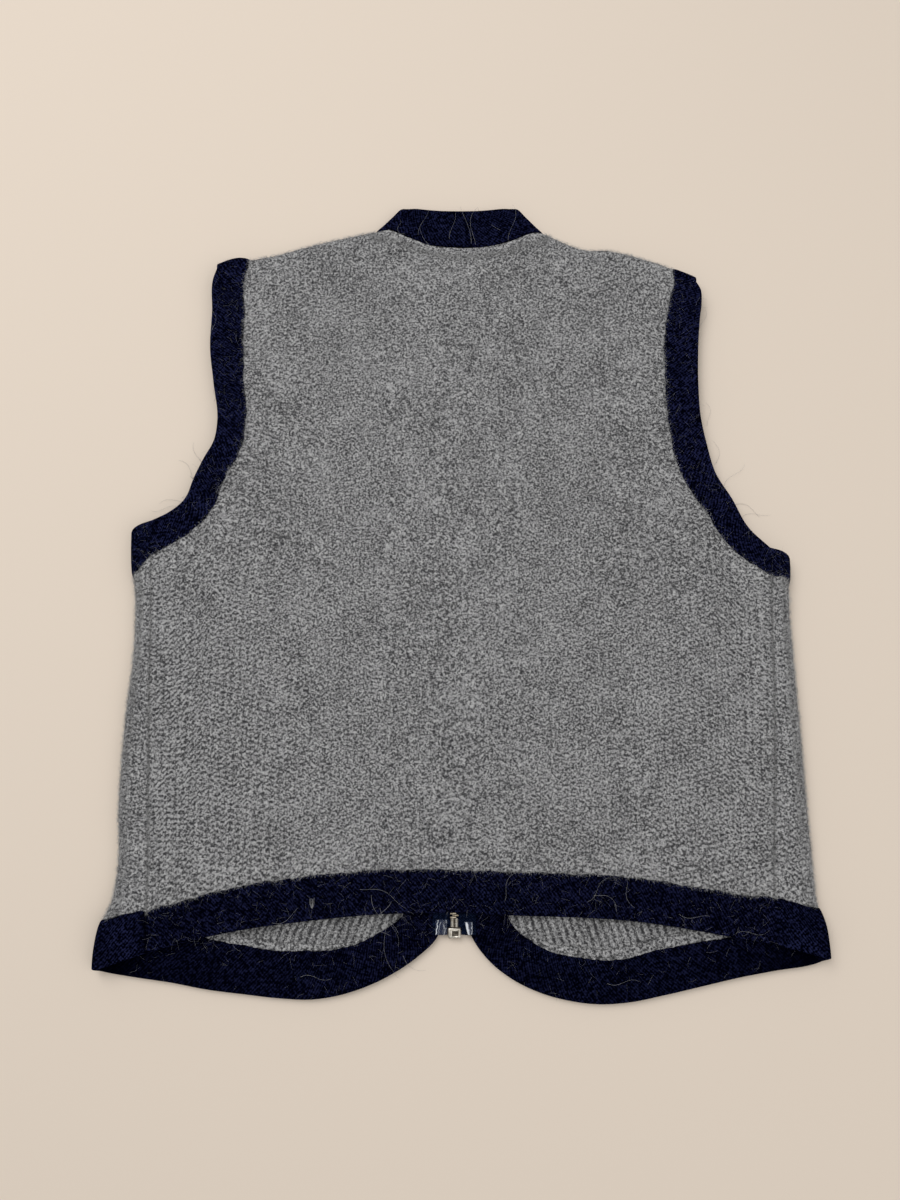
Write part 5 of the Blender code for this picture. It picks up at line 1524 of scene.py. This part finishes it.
def paleWisp():
    rng = np.random.default_rng(307)
    count = (wisp["fibres"], 1)
    s = np.linspace(0, 1, 10)
    bend = np.radians(wisp["heading"]) + rng.normal(0.0, 0.1, count)
    bend = bend + 0.4 * np.sin(np.pi * s + rng.uniform(0, 6.28, count))
    stepLength = rng.uniform(*wisp["length"], count) / len(s)
    xs, ys = (start + rng.normal(0.0, wisp["spread"], count) + stepLength * np.cumsum(turned, axis=1)
              for start, turned in zip(wisp["place"], (np.cos(bend), np.sin(bend))))
    lift = 0.3 + rng.uniform(0.0, 0.5, count) + 0.3 * np.sin(np.pi * s)
    centres = np.stack((xs, ys, topHeights(xs, ys) + lift), axis=-1)
    strands("paleWisp", centres, np.array([wisp["width"]]), skyward, napMaterial)


paleWisp()


# Half of each piece's surface area is printed, in square metres, to set against the area of its flat cloth.
for piece in (back, *fronts.values(), *bands, *tapes.values()):
    print("area", piece.name, round(sum(face.area for face in piece.data.polygons) / 2, 4))


# Floor, lights and camera

floorLook = {"size": 6.0, "height": -0.0003, "colour": (0.70, 0.61, 0.52)}
scene = bpy.context.scene
data = bmesh.new()
bmesh.ops.create_grid(data, x_segments=1, y_segments=1, size=floorLook["size"] / 2)
bmesh.ops.translate(data, vec=(0, 0, floorLook["height"]), verts=data.verts)
mesh = bpy.data.meshes.new("floor")
data.to_mesh(mesh)
data.free()
floor = bpy.data.objects.new("floor", mesh)
scene.collection.objects.link(floor)
floorMaterial, _, shader, _ = newMaterial("paleFloor", 0.9, specular=0.1)
shader.inputs["Base Color"].default_value = (*floorLook["colour"], 1.0)
mesh.materials.append(floorMaterial)

lights = {
    "key": {"place": (-0.9, 0.9, 1.9), "size": 1.5, "power": 30.0},
    "fill": {"place": (1.2, -0.6, 1.7), "size": 2.0, "power": 13.0},
}
for name, light in lights.items():
    lamp = bpy.data.lights.new(name, "AREA")
    lamp.size = light["size"]
    lamp.energy = light["power"]
    holder = bpy.data.objects.new(name, lamp)
    holder.location = light["place"]
    holder.rotation_euler = (-Vector(light["place"])).to_track_quat("-Z", "Y").to_euler()
    scene.collection.objects.link(holder)
studio = {"colour": (1.0, 0.985, 0.96), "strength": 0.45}
world = bpy.data.worlds.new("studio")
world.use_nodes = True
sky = world.node_tree.nodes["Background"].inputs
sky["Color"].default_value = (*studio["colour"], 1.0)
sky["Strength"].default_value = studio["strength"]
scene.world = world
scene.view_settings.view_transform = "Standard"

view = {"place": (-0.00804, -0.14578, 0.660), "tilt": 11.0, "lens": 27.0, "sensor": 36.0}
cameraData = bpy.data.cameras.new("camera")
cameraData.sensor_fit = "AUTO"
cameraData.sensor_width = view["sensor"]
cameraData.lens = view["lens"]
camera = bpy.data.objects.new("camera", cameraData)
camera.location = view["place"]
camera.rotation_euler = (math.radians(view["tilt"]), 0.0, 0.0)
scene.collection.objects.link(camera)
scene.camera = camera

print("scene made")
